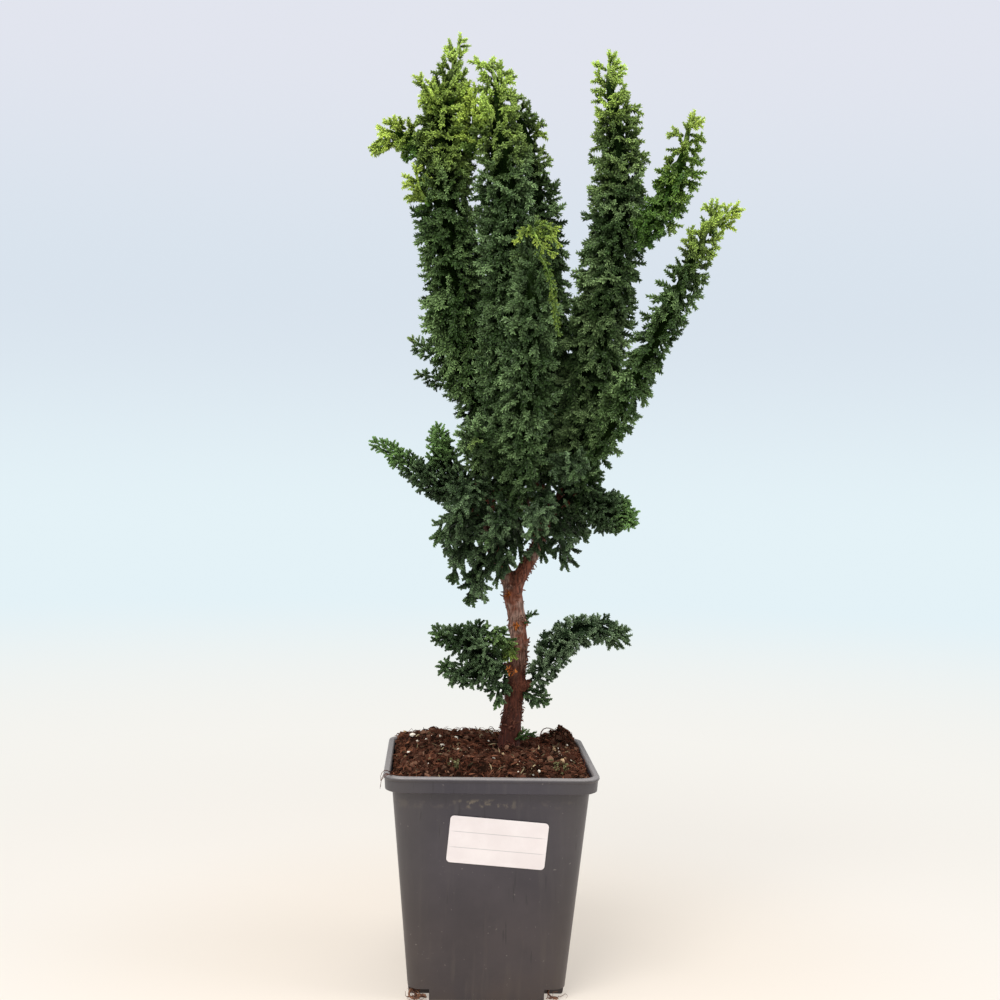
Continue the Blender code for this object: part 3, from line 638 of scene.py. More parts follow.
def stone_shape(name, seed, squash, rough, rings=3, sides=5):
    """A small irregular closed lump, about one unit across."""
    rng = random.Random(seed)
    points, faces = [(0, 0, -0.5 * squash)], []
    for k in range(rings):
        rise = -math.cos(math.pi * (k + 1) / (rings + 1))
        wide = math.sin(math.pi * (k + 1) / (rings + 1))
        for i in range(sides):
            a = math.tau * (i + 0.5 * k) / sides
            r = 0.5 * wide * rng.uniform(1 - rough, 1 + rough)
            points.append((r * math.cos(a), r * math.sin(a),
                           0.5 * squash * rise * rng.uniform(1 - rough, 1 + rough)))
    points.append((0, 0, 0.5 * squash))
    last = len(points) - 1
    for i in range(sides):
        j = (i + 1) % sides
        faces.append((0, 1 + j, 1 + i))
        for k in range(rings - 1):
            a, b = 1 + k * sides, 1 + (k + 1) * sides
            faces.append((a + i, a + j, b + i))
            faces.append((a + j, b + j, b + i))
        top = 1 + (rings - 1) * sides
        faces.append((top + i, top + j, last))
    return new_object(name, points, [], faces)


def soil_top(name, low_x, high_x, low_y, high_y):
    """A sheet over part of the soil's top, to strew things on."""
    step = 1.5
    nx = int((high_x - low_x) / step)
    ny = int((high_y - low_y) / step)
    points = []
    for i in range(nx + 1):
        for j in range(ny + 1):
            x = low_x + (high_x - low_x) * i / nx
            y = low_y + (high_y - low_y) * j / ny
            corner = max(0.0, abs(x) + abs(y) - 94.0)
            x -= math.copysign(corner * 0.5, x)
            y -= math.copysign(corner * 0.5, y)
            points.append((x * mm, y * mm, soil_height(x, y) * mm))
    return mesh_piece(name, points, grid_faces(nx + 1, ny + 1), peat)


def toned_material(name, dark, pale, roughness):
    """A rough material between two colours, by each bit's own tone and a fine noise."""
    material, look = new_material(name)
    fine = look.noise(look.place(), 500.0, 3.0)
    share = look.plus(look.times(look.painted("tone"), 0.75), look.times(fine, 0.45))
    look.surface(look.mix(look.grade(share, 0.1, 1.0), dark, pale), roughness, fine,
                 0.6, 0.0004, 0.08)
    return material


peat_bits = toned_material("peat_crumbs", (0.005, 0.0015, 0.0008), (0.098, 0.041, 0.025), 0.95)
dry_leaf = toned_material("dry_leaf_bits", (0.040, 0.030, 0.016), (0.36, 0.29, 0.17), 0.85)
perlite = toned_material("white_perlite", (0.55, 0.48, 0.36), (0.85, 0.80, 0.70), 0.85)
pebble = toned_material("tan_pebbles", (0.16, 0.09, 0.045), (0.52, 0.38, 0.22), 0.75)
moss = toned_material("soil_moss", (0.045, 0.044, 0.018), (0.19, 0.18, 0.085), 0.95)
chip_bark = toned_material("bark_chips", (0.010, 0.003, 0.0015), (0.18, 0.095, 0.060), 0.9)
shred_bark = toned_material("bark_shreds", (0.012, 0.003, 0.0015), (0.235, 0.094, 0.052), 0.9)

crumb_shape = stone_shape("crumb_shape", 3, 0.8, 0.5, 2, 5)
chip_shape = stone_shape("chip_shape", 8, 0.28, 0.4, 2, 5)
grain_shape = stone_shape("grain_shape", 4, 0.75, 0.22, 3, 6)
shred_shape = mesh_piece("shred_shape", [
    (-0.5, -0.02, 0.0), (-0.18, 0.06, 0.05), (-0.2, 0.12, 0.14), (-0.2, 0.15, 0.03),
    (0.2, 0.02, 0.1), (0.18, 0.08, 0.2), (0.18, 0.11, 0.08), (0.5, -0.12, 0.02)],
    [(0, 1, 2), (0, 2, 3), (0, 3, 1), (1, 4, 5, 2), (2, 5, 6, 3), (3, 6, 4, 1), (7, 5, 4),
     (7, 6, 5), (7, 4, 6)], peat_bits)

# Each kind has its shape, its material, the part of the soil it lies on in mm, its seed, and in
# metres its least distance and, after its share, its least and greatest size. Then come how far
# it stands up, the size of its patches and the most that it tilts, in radians.
all_over, inside, in_middle = (-50, 50, -50, 50), (-49, 49, -49, 49), (-47, 47, -47, 47)
any_way = 3.14
strewn_kinds = (
    ("soil_crumbs", crumb_shape, peat_bits, all_over,
     (11, 0.0013, 0.9, 0.0008, 0.0034, 0.1, 90.0, any_way)),
    ("soil_lumps", crumb_shape, peat_bits, inside,
     (18, 0.0042, 0.7, 0.0018, 0.0055, 0.05, 120.0, any_way)),
    ("soil_shreds", shred_shape, shred_bark, all_over,
     (17, 0.0014, 0.8, 0.0018, 0.0075, 0.02, 60.0, 0.9)),
    ("soil_chips", chip_shape, chip_bark, inside,
     (12, 0.0022, 0.55, 0.0012, 0.0050, 0.2, 45.0, 1.3)),
    ("soil_dry_bits", shred_shape, dry_leaf, inside,
     (19, 0.0032, 0.8, 0.0010, 0.0070, 0.12, 75.0, 1.2)),
    ("soil_perlite", grain_shape, perlite, in_middle,
     (13, 0.004, 0.35, 0.0005, 0.0022, 0.25, 55.0, any_way)),
    ("soil_pebbles", grain_shape, pebble, (-46, 46, -46, 46),
     (14, 0.009, 0.3, 0.0012, 0.0036, 0.2, 55.0, any_way)),
    ("soil_moss", crumb_shape, moss, (-27, -17, -44, -32),
     (15, 0.0006, 0.9, 0.0007, 0.0018, 1.2, 100.0, any_way)),
    ("soil_moss_right", crumb_shape, moss, (28, 40, -45, -33),
     (16, 0.0007, 0.8, 0.0006, 0.0015, 1.2, 110.0, any_way)))
for name, shape, material, area, values in strewn_kinds:
    bits = soil_top(name, *area)
    strew(bits, shape, material, *values)
    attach(bits, "root")
    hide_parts("soil")

# Three larger grains of perlite lie at the left. Each is (x, y, size, turn) in mm and radians.
for i, (x, y, size, turn) in enumerate(((-41, 26, 4.2, 0.4), (-25, -3, 3.6, 1.1),
                                        (-17.5, 9, 2.6, 2.0))):
    grain = grain_shape.data.copy()
    grain.transform(Matrix.LocRotScale(
        Vector((x, y, soil_height(x, y) + 1.2)) * mm, Euler((0.3, 0.2, turn)),
        Vector((size, 0.7 * size, 0.75 * size)) * mm))
    grain.materials.append(perlite)
    grain = bpy.data.objects.new(f"white_grain_{i}", grain)
    bpy.context.scene.collection.objects.link(grain)
    note(grain, "tone", [0.8] * len(grain.data.vertices))
    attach(grain, "root")
    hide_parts("soil")

# Dry fibres lie over the soil, red-brown and tan, and a few long ones arch over the back.
fibre_skin = toned_material("soil_fibres", (0.06, 0.016, 0.008), (0.42, 0.17, 0.10), 0.8)


def rest_height(x, y):
    return soil_height(x, y) + 0.5


def on_soil(value):
    return min(max(value, -50), 50)


rng = random.Random(21)
lines = []
strewn_fibres, red_hairs, right_hairs = 560, 34, 20
for i in range(strewn_fibres):
    x, y = rng.uniform(-49, 49), rng.uniform(-49, 49)
    if abs(x) + abs(y) > 92 or y > 40:
        continue
    rise = rng.uniform(-0.2, 0.5)
    line = wander(rng, (x, y, soil_height(x, y) + rng.uniform(0.2, 1.4)),
                  (rng.uniform(-1, 1), rng.uniform(-1, 1), rise), rng.randrange(5, 14),
                  rng.uniform(0.8, 1.5), 0.34, rng.uniform(0.12, 0.26), rest_height)
    lines.append([(on_soil(px), on_soil(py), min(pz, soil_height(px, py) + 2.6), t)
                  for px, py, pz, t in line])
# Red hair-like fibres tangle along the inside of the right wall and in the left corner.
for i in range(red_hairs):
    x, y = (rng.uniform(43, 49), rng.uniform(-36, 2)) if i < right_hairs else (
        rng.uniform(-49, -44), rng.uniform(-44, -8))
    line = wander(rng, (x, y, soil_height(x, y) + rng.uniform(0.5, 2.0)),
                  (rng.uniform(-0.4, 0.4), rng.uniform(-1, 1), rng.uniform(0.1, 0.8)),
                  rng.randrange(6, 13), 1.0, 0.38, rng.uniform(0.14, 0.24), rest_height)
    lines.append([(on_soil(px), py, min(pz, soil_height(px, py) + 4.5), t)
                  for px, py, pz, t in line])
# Longer ones arch over the soil, and four thin ones hang over the lip at the left.
long_fibres = (
    ((-31, 30, 122.5), (-20, 22, 125), (-8, 12, 126), (-2, -2, 124.5), (2, -14, 123.5)),
    ((30, 28, 124), (31, 28, 127), (34, 29, 128), (38, 30, 126.5), (38, 31, 124)),
    ((-50, -46, 117), (-53.6, -50.5, 119.0), (-55.4, -53, 117.2), (-55.8, -53.4, 113)),
    ((-49, -48, 117), (-53, -53, 119.2), (-55.2, -55.6, 117.2), (-56, -55.6, 112.5)),
    ((-47, -47, 117), (-51, -52, 119.2), (-53.6, -55.4, 118.6), (-55.8, -56, 116.5)),
    ((-50.5, -40, 117), (-54, -44, 119.2), (-56, -46.5, 117.6), (-56, -47.6, 114.6)),
    ((49, -10, 117.5), (49.6, -18, 120.6), (49.2, -27, 120.2), (47, -33, 118)),
    ((-2, 12, 123), (-8, -2, 124.5), (-14, -14, 123.5), (-17, -24, 122.5)),
    ((12, -30, 121.5), (16, -33, 123.5), (20, -36, 121.5), (19, -39, 119.5)),
    ((44, -14, 118), (46, -20, 121.5), (47, -27, 121), (46, -34, 117)),
    ((-45, -30, 118), (-46, -35, 121), (-44, -40, 119), (-41, -44, 117.5)),
)
over_lip_thick, on_soil_thick, past_lip = 0.2, 0.34, -52
for line in long_fibres:
    thick = over_lip_thick if line[-1][0] < past_lip else on_soil_thick
    lines.append([(*p, thick * (1 - 0.14 * i)) for i, p in enumerate(line)])
fibres = lines_object("soil_fibres", lines, "thick")
run_nodes(fibres, thread, {"Step": 0.0019, "Sides": 4, "Material": fibre_skin})
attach(fibres, "root")
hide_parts("soil")


# The trunk. A red-brown trunk as thick as a finger stands in the soil, forks in two, and carries
# twigs into the crown. Its bark peels in thin flakes, with dry orange tufts where sprays died.
bark, look = new_material("trunk_bark")
place = look.place()
height = look.axis(place, 2)
fibre = look.noise(look.drawn_out(place, (900.0, 900.0, 170.0)), 1.0, 4.0, 0.65)
pale = look.times(look.grade(look.noise(place, 95.0, 3.0), 0.48, 0.62),
                  look.grade(height, 0.15, 0.19))
colour = look.mix(look.grade(height, 0.12, 0.19), (0.068, 0.013, 0.007),
                  (0.250, 0.082, 0.046))
colour = look.layers(
    colour,
    (pale, (0.40, 0.245, 0.190)),
    (look.grade(fibre, 0.62, 0.36, 0.0, 0.75), (0.020, 0.006, 0.004)),
    (look.grade(fibre, 0.6, 0.8, 0.0, 0.5), (0.36, 0.150, 0.09)),
    (look.times(look.painted("tone"), 0.35), (0.26, 0.10, 0.055)))
look.surface(colour, 0.8, fibre, 0.8, 0.0008, 0.3)

# Each line of wood is its points (x, y, z, radius) in mm: the trunk, its two limbs, and the
# stems that carry the shoots.
wood_routes = (
    ((10.5, 0, 110, 7.2), (10.5, 0, 119, 6.9), (11, 0, 127, 5.9), (12.5, -2, 143, 4.9),
     (13.5, -1, 157, 4.8), (15, 0, 172, 4.6), (14, 0, 190, 4.7), (11.5, 0, 203, 5.0),
     (10.5, 0, 210, 4.4)),
    ((11.5, 0, 203, 3.8), (9, 1.5, 212, 4.0), (5, 3, 220, 3.8), (-1, 5, 232, 3.4),
     (-4, 8, 246, 3.0), (-6, 12, 255, 2.5), (-8.6, 15.6, 264, 2.2)),
    ((11.5, 0, 201, 3.8), (13, 0.5, 211, 4.1), (17, 1, 219, 3.9), (24, 3, 232, 3.5),
     (29, 3, 247, 3.0), (34, 3, 256, 2.6), (38, 4, 264, 2.3)),
    ((-3, 7, 244, 2.6), (-1, 2, 255, 2.3), (1.6, -2.6, 262, 2.0)),
    ((-2, 6, 236, 2.4), (-8, 2, 247, 2.1), (-12.6, -2, 252.4, 1.7)),
    ((28.5, 3, 244, 2.7), (28, 9, 256, 2.4), (27, 13.6, 264, 2.1)),
    ((34, 3, 254, 2.2), (43, -6, 259, 2.0), (47.6, -9.6, 266, 1.8)),
    ((24, 3, 234, 2.5), (20, -7, 247, 2.2), (14.8, -14.6, 257, 1.9)),
    ((29, 3, 246, 2.3), (36, -3, 253, 1.9), (41, -6, 256.2, 1.6)),
    ((-7, 13, 257, 2.0), (-5, 19, 265, 1.8), (-3.6, 22, 270, 1.6)),
    ((28, 10, 257, 2.0), (25, 18, 265, 1.8), (23.4, 22, 270, 1.6)),
    ((34, 4, 255, 2.0), (42, 11.5, 261, 1.8), (45.6, 14.4, 269, 1.6)),
    ((13.5, -1, 164, 2.7), (10, -5, 166.5, 2.2), (6.8, -7.4, 167.6, 1.8)),
    ((13.5, -1, 154, 2.7), (18.5, -3, 156.5, 2.2), (22.5, -4.4, 158.8, 1.8)),
    ((12, -1, 135.5, 2.3), (9, -3, 136.8, 1.9), (6.4, -4.4, 138, 1.5)))

# The bark stands up in long ridges, which a noise drawn out along the wood raises.
ridged = new_growth("ridged_bark", {"Ridge Height": 0.0011, "Ridge Width": 420.0})
where = ridged.add("GeometryNodeInputPosition").outputs[0]
ridge = ridged.noise(ridged.vector("MULTIPLY", where, (1.0, 1.0, 0.22)),
                     ridged.given["Ridge Width"], 3.0, 0.7)
lump = ridged.noise(where, 120.0, 1.0)
high = ridged.plus(ridged.minus(ridge, 0.5), ridged.minus(lump, 0.5))
high = ridged.times(high, ridged.given["Ridge Height"])
ridged.finish(ridged.realize(ridged.raised(ridged.given["Geometry"], high)))

trunk = lines_object("trunk_wood", wood_routes, "thick")
run_nodes(trunk, thread, {"Step": 0.0015, "Sides": 18, "Material": bark})
fuse = trunk.modifiers.new("fuse", "REMESH")
fuse.mode = "VOXEL"
fuse.voxel_size = 0.9 * mm
plain_mesh(trunk)
run_nodes(trunk, ridged, {"Ridge Height": 0.0016, "Material": bark})
trunk.data.shade_smooth()
flakes_ground = trunk.copy()
flakes_ground.data = trunk.data.copy()
flakes_ground.name = "trunk_flakes"
bpy.context.scene.collection.objects.link(flakes_ground)
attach(trunk, "root")
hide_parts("trunk")


def flake_shape(name, wide, thin, bend):
    """A thin pointed flake one unit long, standing on its root and bent over."""
    points = []
    for z, w in ((-0.15, 0.8), (0.35, 1.0), (0.75, 0.6)):
        x = bend * z * z
        points += [(x - thin, -wide * w / 2, z), (x + thin, -wide * w / 2, z),
                   (x + thin, wide * w / 2, z), (x - thin, wide * w / 2, z)]
    points.append((bend, 0.0, 1.0))
    faces = [(3, 2, 1, 0)]
    for k in range(2):
        for i in range(4):
            j = (i + 1) % 4
            faces.append((4 * k + i, 4 * k + j, 4 * k + 4 + j, 4 * k + 4 + i))
    faces += [(8 + i, 8 + (i + 1) % 4, 12) for i in range(4)]
    return new_object(name, points, [], faces)


bark_flake = flake_shape("bark_flake", 0.42, 0.09, 0.4)
dry_spike = flake_shape("dry_spike", 0.26, 0.09, 0.3)
strew(flakes_ground, bark_flake, bark, 31, 0.0014, 1.8, 0.0009, 0.0026, 0.0, 150.0, 0.95)
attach(flakes_ground, "root")
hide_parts("trunk")

# Each dry tuft is a small knot of dead needles on the bark, at its place and size in mm.
dry_needles = toned_material("dry_needles", (0.14, 0.030, 0.008), (0.66, 0.22, 0.05), 0.8)
tuft_places = ((9.0, -4.4, 206.0, 1.3), (13.2, -4.2, 189.0, 1.7), (18.4, -1.5, 190.0, 1.6),
               (9.0, -15.6, 166.4, 2.3), (12.4, -15.4, 165.2, 2.3), (6.6, -14.6, 164.0, 1.9),
               (10.4, -15.2, 163.2, 1.8), (12.0, -5.0, 160.5, 1.4), (17.5, -2.5, 178.0, 1.2),
               (32.5, 5.0, 252.0, 2.0), (9.0, -5.0, 119.0, 1.6))
knot_size = 1.5
points, faces = [], []
for i, (x, y, z, radius) in enumerate(tuft_places):
    knot = stone_shape("knot", 40 + i, 0.9, 0.25, 3, 6)
    knot.data.transform(Matrix.Translation((x * mm, y * mm, z * mm))
                        @ Matrix.Scale(radius * knot_size * mm, 4))
    first = len(points)
    points += [v.co.copy() for v in knot.data.vertices]
    faces += [tuple(first + k for k in p.vertices) for p in knot.data.polygons]
    bpy.data.objects.remove(knot)
tufts = mesh_piece("dry_tufts", points, faces, dry_needles)
strew(tufts, dry_spike, dry_needles, 33, 0.00045, 2.0, 0.0011, 0.0026, -0.05, 10.0, 0.7)
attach(tufts, "root")
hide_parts("trunk")


# The label. A white coated paper sticker with round corners, stuck a little crooked on the
# pot's front wall. It is left blank, with two faint ruled lines to write on.
label_paper, look = new_material("label_paper")
place = look.place()
wear = look.add("ShaderNodeGroup", {"Position": place, "Blotch Size": 60.0,
                "Speck Size": 1500.0}, node_tree=dust.tree).outputs
colour = look.layers(
    look.mix(wear["Blotches"], (0.80, 0.735, 0.735), (0.86, 0.80, 0.80)),
    (look.times(wear["Specks"], 0.3), (0.45, 0.42, 0.40)),
    (look.times(look.painted("ruled"), 0.5), (0.30, 0.29, 0.31)))
look.surface(colour, 0.42, look.noise(place, 1800.0, 3.0), 0.08, 0.0002)

# Half the sticker's width and height, its corner radius, the lift of its back and front off
# the wall, and how much its face swells, all in mm. A ruled line is 0.3 mm wide.
wide, tall, corner = 25.0, 12.25, 2.0
back_lift, front_lift, swell = 0.3, 0.44, 0.05
ruled_at = (-4.2, -3.9, 4.0, 4.3)
ink_fade = 0.04
ruled_reach = 0.86
rim_share = 0.995
slope = math.atan(wall_flare / band_low)
turn = math.radians(-4.6)
middle_x, middle_z = 3.5, 84.0
middle = Vector((middle_x, -wall_half(middle_z), middle_z))
up_wall = Vector((0, -math.sin(slope), math.cos(slope)))
out_wall = Vector((0, -math.cos(slope), -math.sin(slope)))
inset = {0.6} | {corner * (1 - math.cos(math.pi / 2 * k / 6)) for k in range(7)}
levels = sorted({tall - step for step in inset} | {step - tall for step in inset}
                | {y + (-ink_fade, ink_fade)[k % 2] for k, y in enumerate(ruled_at)}
                | {*ruled_at})
columns = [-1.0, -rim_share, *(ruled_reach * (i / 10 - 1) for i in range(21)), rim_share, 1.0]


def on_wall(x, y, lift):
    """A point of the sticker, from its middle, laid on the sloping wall, in metres."""
    rx = x * math.cos(turn) - y * math.sin(turn)
    ry = x * math.sin(turn) + y * math.cos(turn)
    return (middle + Vector((1, 0, 0)) * rx + up_wall * ry + out_wall * lift) * mm


points, faces, ruled_values = [], [], []
for face, lift in ((True, front_lift), (False, back_lift)):
    for y in levels:
        over = max(0.0, abs(y) - (tall - corner))
        reach = wide - corner + math.sqrt(max(0.0, corner ** 2 - over ** 2))
        for share in columns:
            inner = face and abs(share) < rim_share and abs(y) < tall - 0.1
            points.append(on_wall(share * reach, y, lift + (swell if inner else 0.0)))
            inked = face and y in ruled_at and abs(share) < ruled_reach + 0.001
            ruled_values.append(1.0 if inked else 0.0)
n = len(columns)
size = len(levels) * n
for j in range(len(levels) - 1):
    for i in range(n - 1):
        a = j * n + i
        faces.append((a, a + 1, a + n + 1, a + n))
        faces.append((size + a, size + a + n, size + a + n + 1, size + a + 1))
edge = [*range(n - 1)] + [j * n + n - 1 for j in range(len(levels) - 1)]
edge += [(len(levels) - 1) * n + n - 1 - i for i in range(n - 1)]
edge += [(len(levels) - 1 - j) * n for j in range(len(levels) - 1)]
for k in range(len(edge)):
    m = (k + 1) % len(edge)
    faces.append((edge[m], edge[k], size + edge[k], size + edge[m]))
label = mesh_piece("blank_sticker", points, faces, label_paper, sharp=40)
note(label, "ruled", ruled_values)
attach(label, "root")
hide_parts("label")


# The leaves. The branchlets are cords of tiny overlapping scale leaves, blunt as caterpillars.
# They grow as small fans round each upright shoot and hang or reach out along each side spray.
leaf_scales = new_group(Nodes, "leaf_scales", {
    "Position": "Vector", "Twig Part": 0.0, "Shoot Part": 0.0, "Tone": 0.5, "Deep": "Color",
    "Leaf": "Color", "Pale": "Color", "Young": "Color", "Young From": 0.8},
    {"Colour": "Color", "Scales": "Float"}, "ShaderNodeTree")
given = leaf_scales.given
where, twig_part = given["Position"], given["Twig Part"]
grade, times = leaf_scales.grade, leaf_scales.times
patches = leaf_scales.noise(where, 34.0, 2.0)
# Each scale is a cell. The cells give the scales their bump, and their edges carry painted shade:
# each scale is darker towards its edges, in the creases between scales.
cells = leaf_scales.add("ShaderNodeTexVoronoi", {"Vector": where, "Scale": 760.0},
                        feature="DISTANCE_TO_EDGE")
crease = grade(cells.outputs["Distance"], 0.0, 0.22)
share = leaf_scales.plus(times(patches, 0.9), times(given["Tone"], 0.55))
age = leaf_scales.plus(given["Shoot Part"], times(leaf_scales.minus(patches, 0.5), 0.32))
# Towards a shoot's end the green gets fresher first, and then its scale points turn yellow. The
# fresher green is partly young growth and partly painted light, lighter towards the tops of the
# upright shoots.
fresh_and_lit = grade(leaf_scales.minus(age, given["Young From"]), -0.15, 0.06)
fresh_lit_green = leaf_scales.mix(grade(share, 0.4, 1.0, 0.24, 0.66), given["Leaf"],
                              given["Young"])
young = times(times(grade(age, given["Young From"], 1.02), grade(twig_part, 0.15, 0.8)),
              grade(given["Tone"], 0.0, 0.8, 0.45, 1.0))
dead = times(grade(leaf_scales.noise(where, 140.0, 1.0), 0.72, 0.78),
             grade(twig_part, 0.6, 1.0))
colour = leaf_scales.mix(grade(share, 0.5, 1.05), given["Leaf"], given["Pale"])
colour = leaf_scales.mix(fresh_and_lit, colour, fresh_lit_green)
# Painted shade: each twig is painted with the deep shade colour towards its root and between its
# scale points, so the inside of the foliage reads as shadow.
colour = leaf_scales.layers(
    leaf_scales.mix(grade(twig_part, 0.1, 0.95), given["Deep"], colour),
    (young, given["Young"]),
    (times(dead, 0.8), (0.30, 0.12, 0.03)),
    (1.0, grade(crease, 0.0, 1.0, 0.62, 1.0), "MULTIPLY"))
leaf_scales.give(leaf_scales.results["Colour"], colour)
leaf_scales.give(leaf_scales.results["Scales"], crease)


def leaf_material(name, deep_shade, leaf, pale, young, young_from):
    """Scale leaves, with painted shade at each twig's root, and yellow-green at a shoot's young
    end.
    """
    material, look = new_material(name)
    twig_part = look.painted("twig_part")
    scales = look.add("ShaderNodeGroup", {
        "Position": look.place(), "Twig Part": twig_part,
        "Shoot Part": look.painted("shoot_part"), "Tone": look.painted("tone"), "Deep": deep_shade,
        "Leaf": leaf, "Pale": pale, "Young": young, "Young From": young_from},
        node_tree=leaf_scales.tree).outputs
    look.surface(scales["Colour"], 0.42, scales["Scales"], 0.7, 0.0005,
                 look.grade(twig_part, 0.1, 0.6, 0.0, 0.35))
    return material


leaf_dark = leaf_material("scales_dark", (0.009, 0.020, 0.004), (0.069, 0.144, 0.035),
                          (0.405, 0.640, 0.250), (0.66, 0.92, 0.160), 0.86)
leaf_middle = leaf_material("scales_middle", (0.010, 0.022, 0.004), (0.070, 0.152, 0.031),
                            (0.410, 0.655, 0.225), (0.68, 0.94, 0.160), 0.84)
leaf_light = leaf_material("scales_light", (0.015, 0.036, 0.005), (0.105, 0.265, 0.030),
                           (0.32, 0.56, 0.110), (0.76, 0.98, 0.150), 0.50)
leaf_blue = leaf_material("scales_blue", (0.008, 0.016, 0.006), (0.058, 0.120, 0.036),
                          (0.300, 0.475, 0.215), (0.28, 0.52, 0.140), 0.84)
# The lit dark scales are a lighter copy of the dark scales, with painted light, for the right
# leader.
leaf_dark_lit = leaf_material("scales_dark_lit", (0.011, 0.024, 0.006), (0.092, 0.180, 0.046),
                              (0.470, 0.700, 0.270), (0.66, 0.92, 0.160), 0.86)
leaf_blue_pale = leaf_material("scales_blue_pale", (0.010, 0.020, 0.009), (0.072, 0.145, 0.052),
                               (0.400, 0.580, 0.310), (0.40, 0.62, 0.250), 0.80)

# One twig is a three-sided stem, one unit long, whose faces rise to scale points that lean
# forward. Each row is the height and half width of a ring and how far its points stand out.
spiky_rings = ((0.0, 0.28, 0.80), (0.19, 0.32, 1.0), (0.38, 0.32, 1.0), (0.56, 0.28, 0.85),
               (0.73, 0.24, 0.62), (0.88, 0.18, 0.0))
blunt_rings = ((0.0, 0.40, 0.70), (0.16, 0.50, 0.82), (0.32, 0.54, 0.86), (0.48, 0.54, 0.84),
               (0.64, 0.50, 0.76), (0.80, 0.42, 0.60), (0.94, 0.26, 0.0))


def twig_shape(name, bend, turn, rings, forward):
    """A twig of scale leaves, rooted at the origin and bent to one side by its tip."""
    def spot(z, radius, angle):
        return (radius * math.cos(angle) + bend * z * z, radius * math.sin(angle), z)

    points, faces, parts = [], [], []
    for k, (z, radius, _) in enumerate(rings):
        for i in range(3):
            points.append(spot(z, radius, math.tau * i / 3 + turn * k))
            parts.append(0.12 + 0.3 * z)
    faces.append((2, 1, 0))
    for k in range(len(rings) - 1):
        z, _, stand = rings[k]
        for i in range(3):
            j = (i + 1) % 3
            points.append(spot(z + forward, stand, math.tau * (i + 0.5) / 3 + turn * (k + 0.5)))
            parts.append(0.62 + 0.38 * z)
            corners = (3 * k + i, 3 * k + j, 3 * k + 3 + j, 3 * k + 3 + i)
            for c in range(4):
                faces.append((corners[c], corners[(c + 1) % 4], len(points) - 1))
    points.append(spot(1.0, 0.0, 0.0))
    parts.append(1.0)
    last = 3 * (len(rings) - 1)
    for i in range(3):
        faces.append((last + i, last + (i + 1) % 3, len(points) - 1))
    twig = new_object(name, points, [], faces)
    note(twig, "twig_part", parts)
    return twig


# A twig's depth is this share of its width.
twig_depth = 0.38


def fan_layout(name, twigs):
    """Where a fan's twigs stand. Each is (x, z, lean, tilt, length, width), mm and degrees."""
    fan = new_object(name, [(x * mm, 0, z * mm) for x, z, *_ in twigs], [], [])
    aims, sizes = [], []
    for x, z, lean, tilt, length, wide in twigs:
        lean, tilt = math.radians(lean), math.radians(tilt)
        aims += [math.sin(lean) * math.cos(tilt), math.sin(tilt), math.cos(lean) * math.cos(tilt)]
        sizes += [wide / 2 * mm, wide * twig_depth * mm, length * mm]
    note(fan, "aim", aims, "FLOAT_VECTOR")
    note(fan, "size", sizes, "FLOAT_VECTOR")
    return fan


twigs = [twig_shape("straight_twig", 0.0, 0.44, spiky_rings, 0.23),
         twig_shape("bent_twig", 0.5, -0.44, spiky_rings, 0.23),
         twig_shape("curled_twig", -0.8, 0.5, spiky_rings, 0.23),
         twig_shape("straight_blunt_twig", 0.0, 0.44, blunt_rings, 0.17),
         twig_shape("bent_blunt_twig", 0.7, -0.44, blunt_rings, 0.17),
         twig_shape("curled_blunt_twig", -1.0, 0.5, blunt_rings, 0.17)]
# Three sizes of fan, the smallest first, each with fine twigs or with blunt ones.
fans = (
    (fan_layout("small_fan", ((0, -1.0, 4, 0, 8.0, 4.4), (0.3, 1.0, 42, 10, 5.4, 3.8))),
     fan_layout("small_blunt_fan", ((0, -1.0, 4, 0, 8.0, 4.2), (0.3, 1.0, 42, 10, 5.4, 3.9)))),
    (fan_layout("middle_fan", ((0, -1.5, 0, 0, 10.0, 5.0), (0.3, 1.4, 42, 10, 7.0, 4.6),
                               (-0.3, 3.4, -40, -12, 6.0, 4.4))),
     fan_layout("middle_blunt_fan", ((0, -1.5, 0, 0, 10.5, 4.3), (0.3, 1.6, 44, 12, 7.0, 4.0),
                                     (-0.3, 3.6, -40, -14, 6.4, 4.0)))),
    (fan_layout("large_fan", ((0, -2.0, 0, 0, 12.0, 5.6), (0.3, 1.2, 44, 12, 8.6, 5.2),
                              (-0.3, 3.4, -40, -14, 8.0, 5.0))),
     fan_layout("large_blunt_fan", ((0, -2.0, 0, 0, 13.5, 4.4), (0.3, 0.8, 44, 12, 9.0, 4.1),
                                    (-0.3, 2.8, -42, -14, 8.6, 4.1), (0.3, 5.4, 38, -12, 7.0, 4.0),
                                    (-0.3, 7.2, -34, 12, 5.6, 3.8)))))

# A leafy shoot is a stem along its line, and fans of twigs that stand on a guide round the same
# line. The reach of each point says how far out the leaves come there. The guide leaves room
# for the twigs, and the stem is thinner than the guide. Lengths here are in metres.
line_step = 0.0025
twig_room = 0.0095
stem_inset = 0.0012
least_stem = 0.0008
least_guide_share = 0.38
stem_share = 0.78
leafy_from = 0.6
small_fan_reach, middle_fan_reach = 0.0065, 0.0135
shoots = new_growth("leafy_shoot", {
    "Apart": 0.008, "Lean Foot": 0.0, "Lean Tip": 0.9, "Droop": 0.0, "Thickness": 1.0,
    "Youth": 1.0, "Start Age": 0.0, "Blunt": False, "Seed": 1})
given = shoots.given
thickness = given["Thickness"]
grade, times, stored = shoots.grade, shoots.times, shoots.stored
line = shoots.smooth_line(line_step)
line = shoots.keep(line, "shoot_part", shoots.add("GeometryNodeSplineParameter").outputs["Factor"])
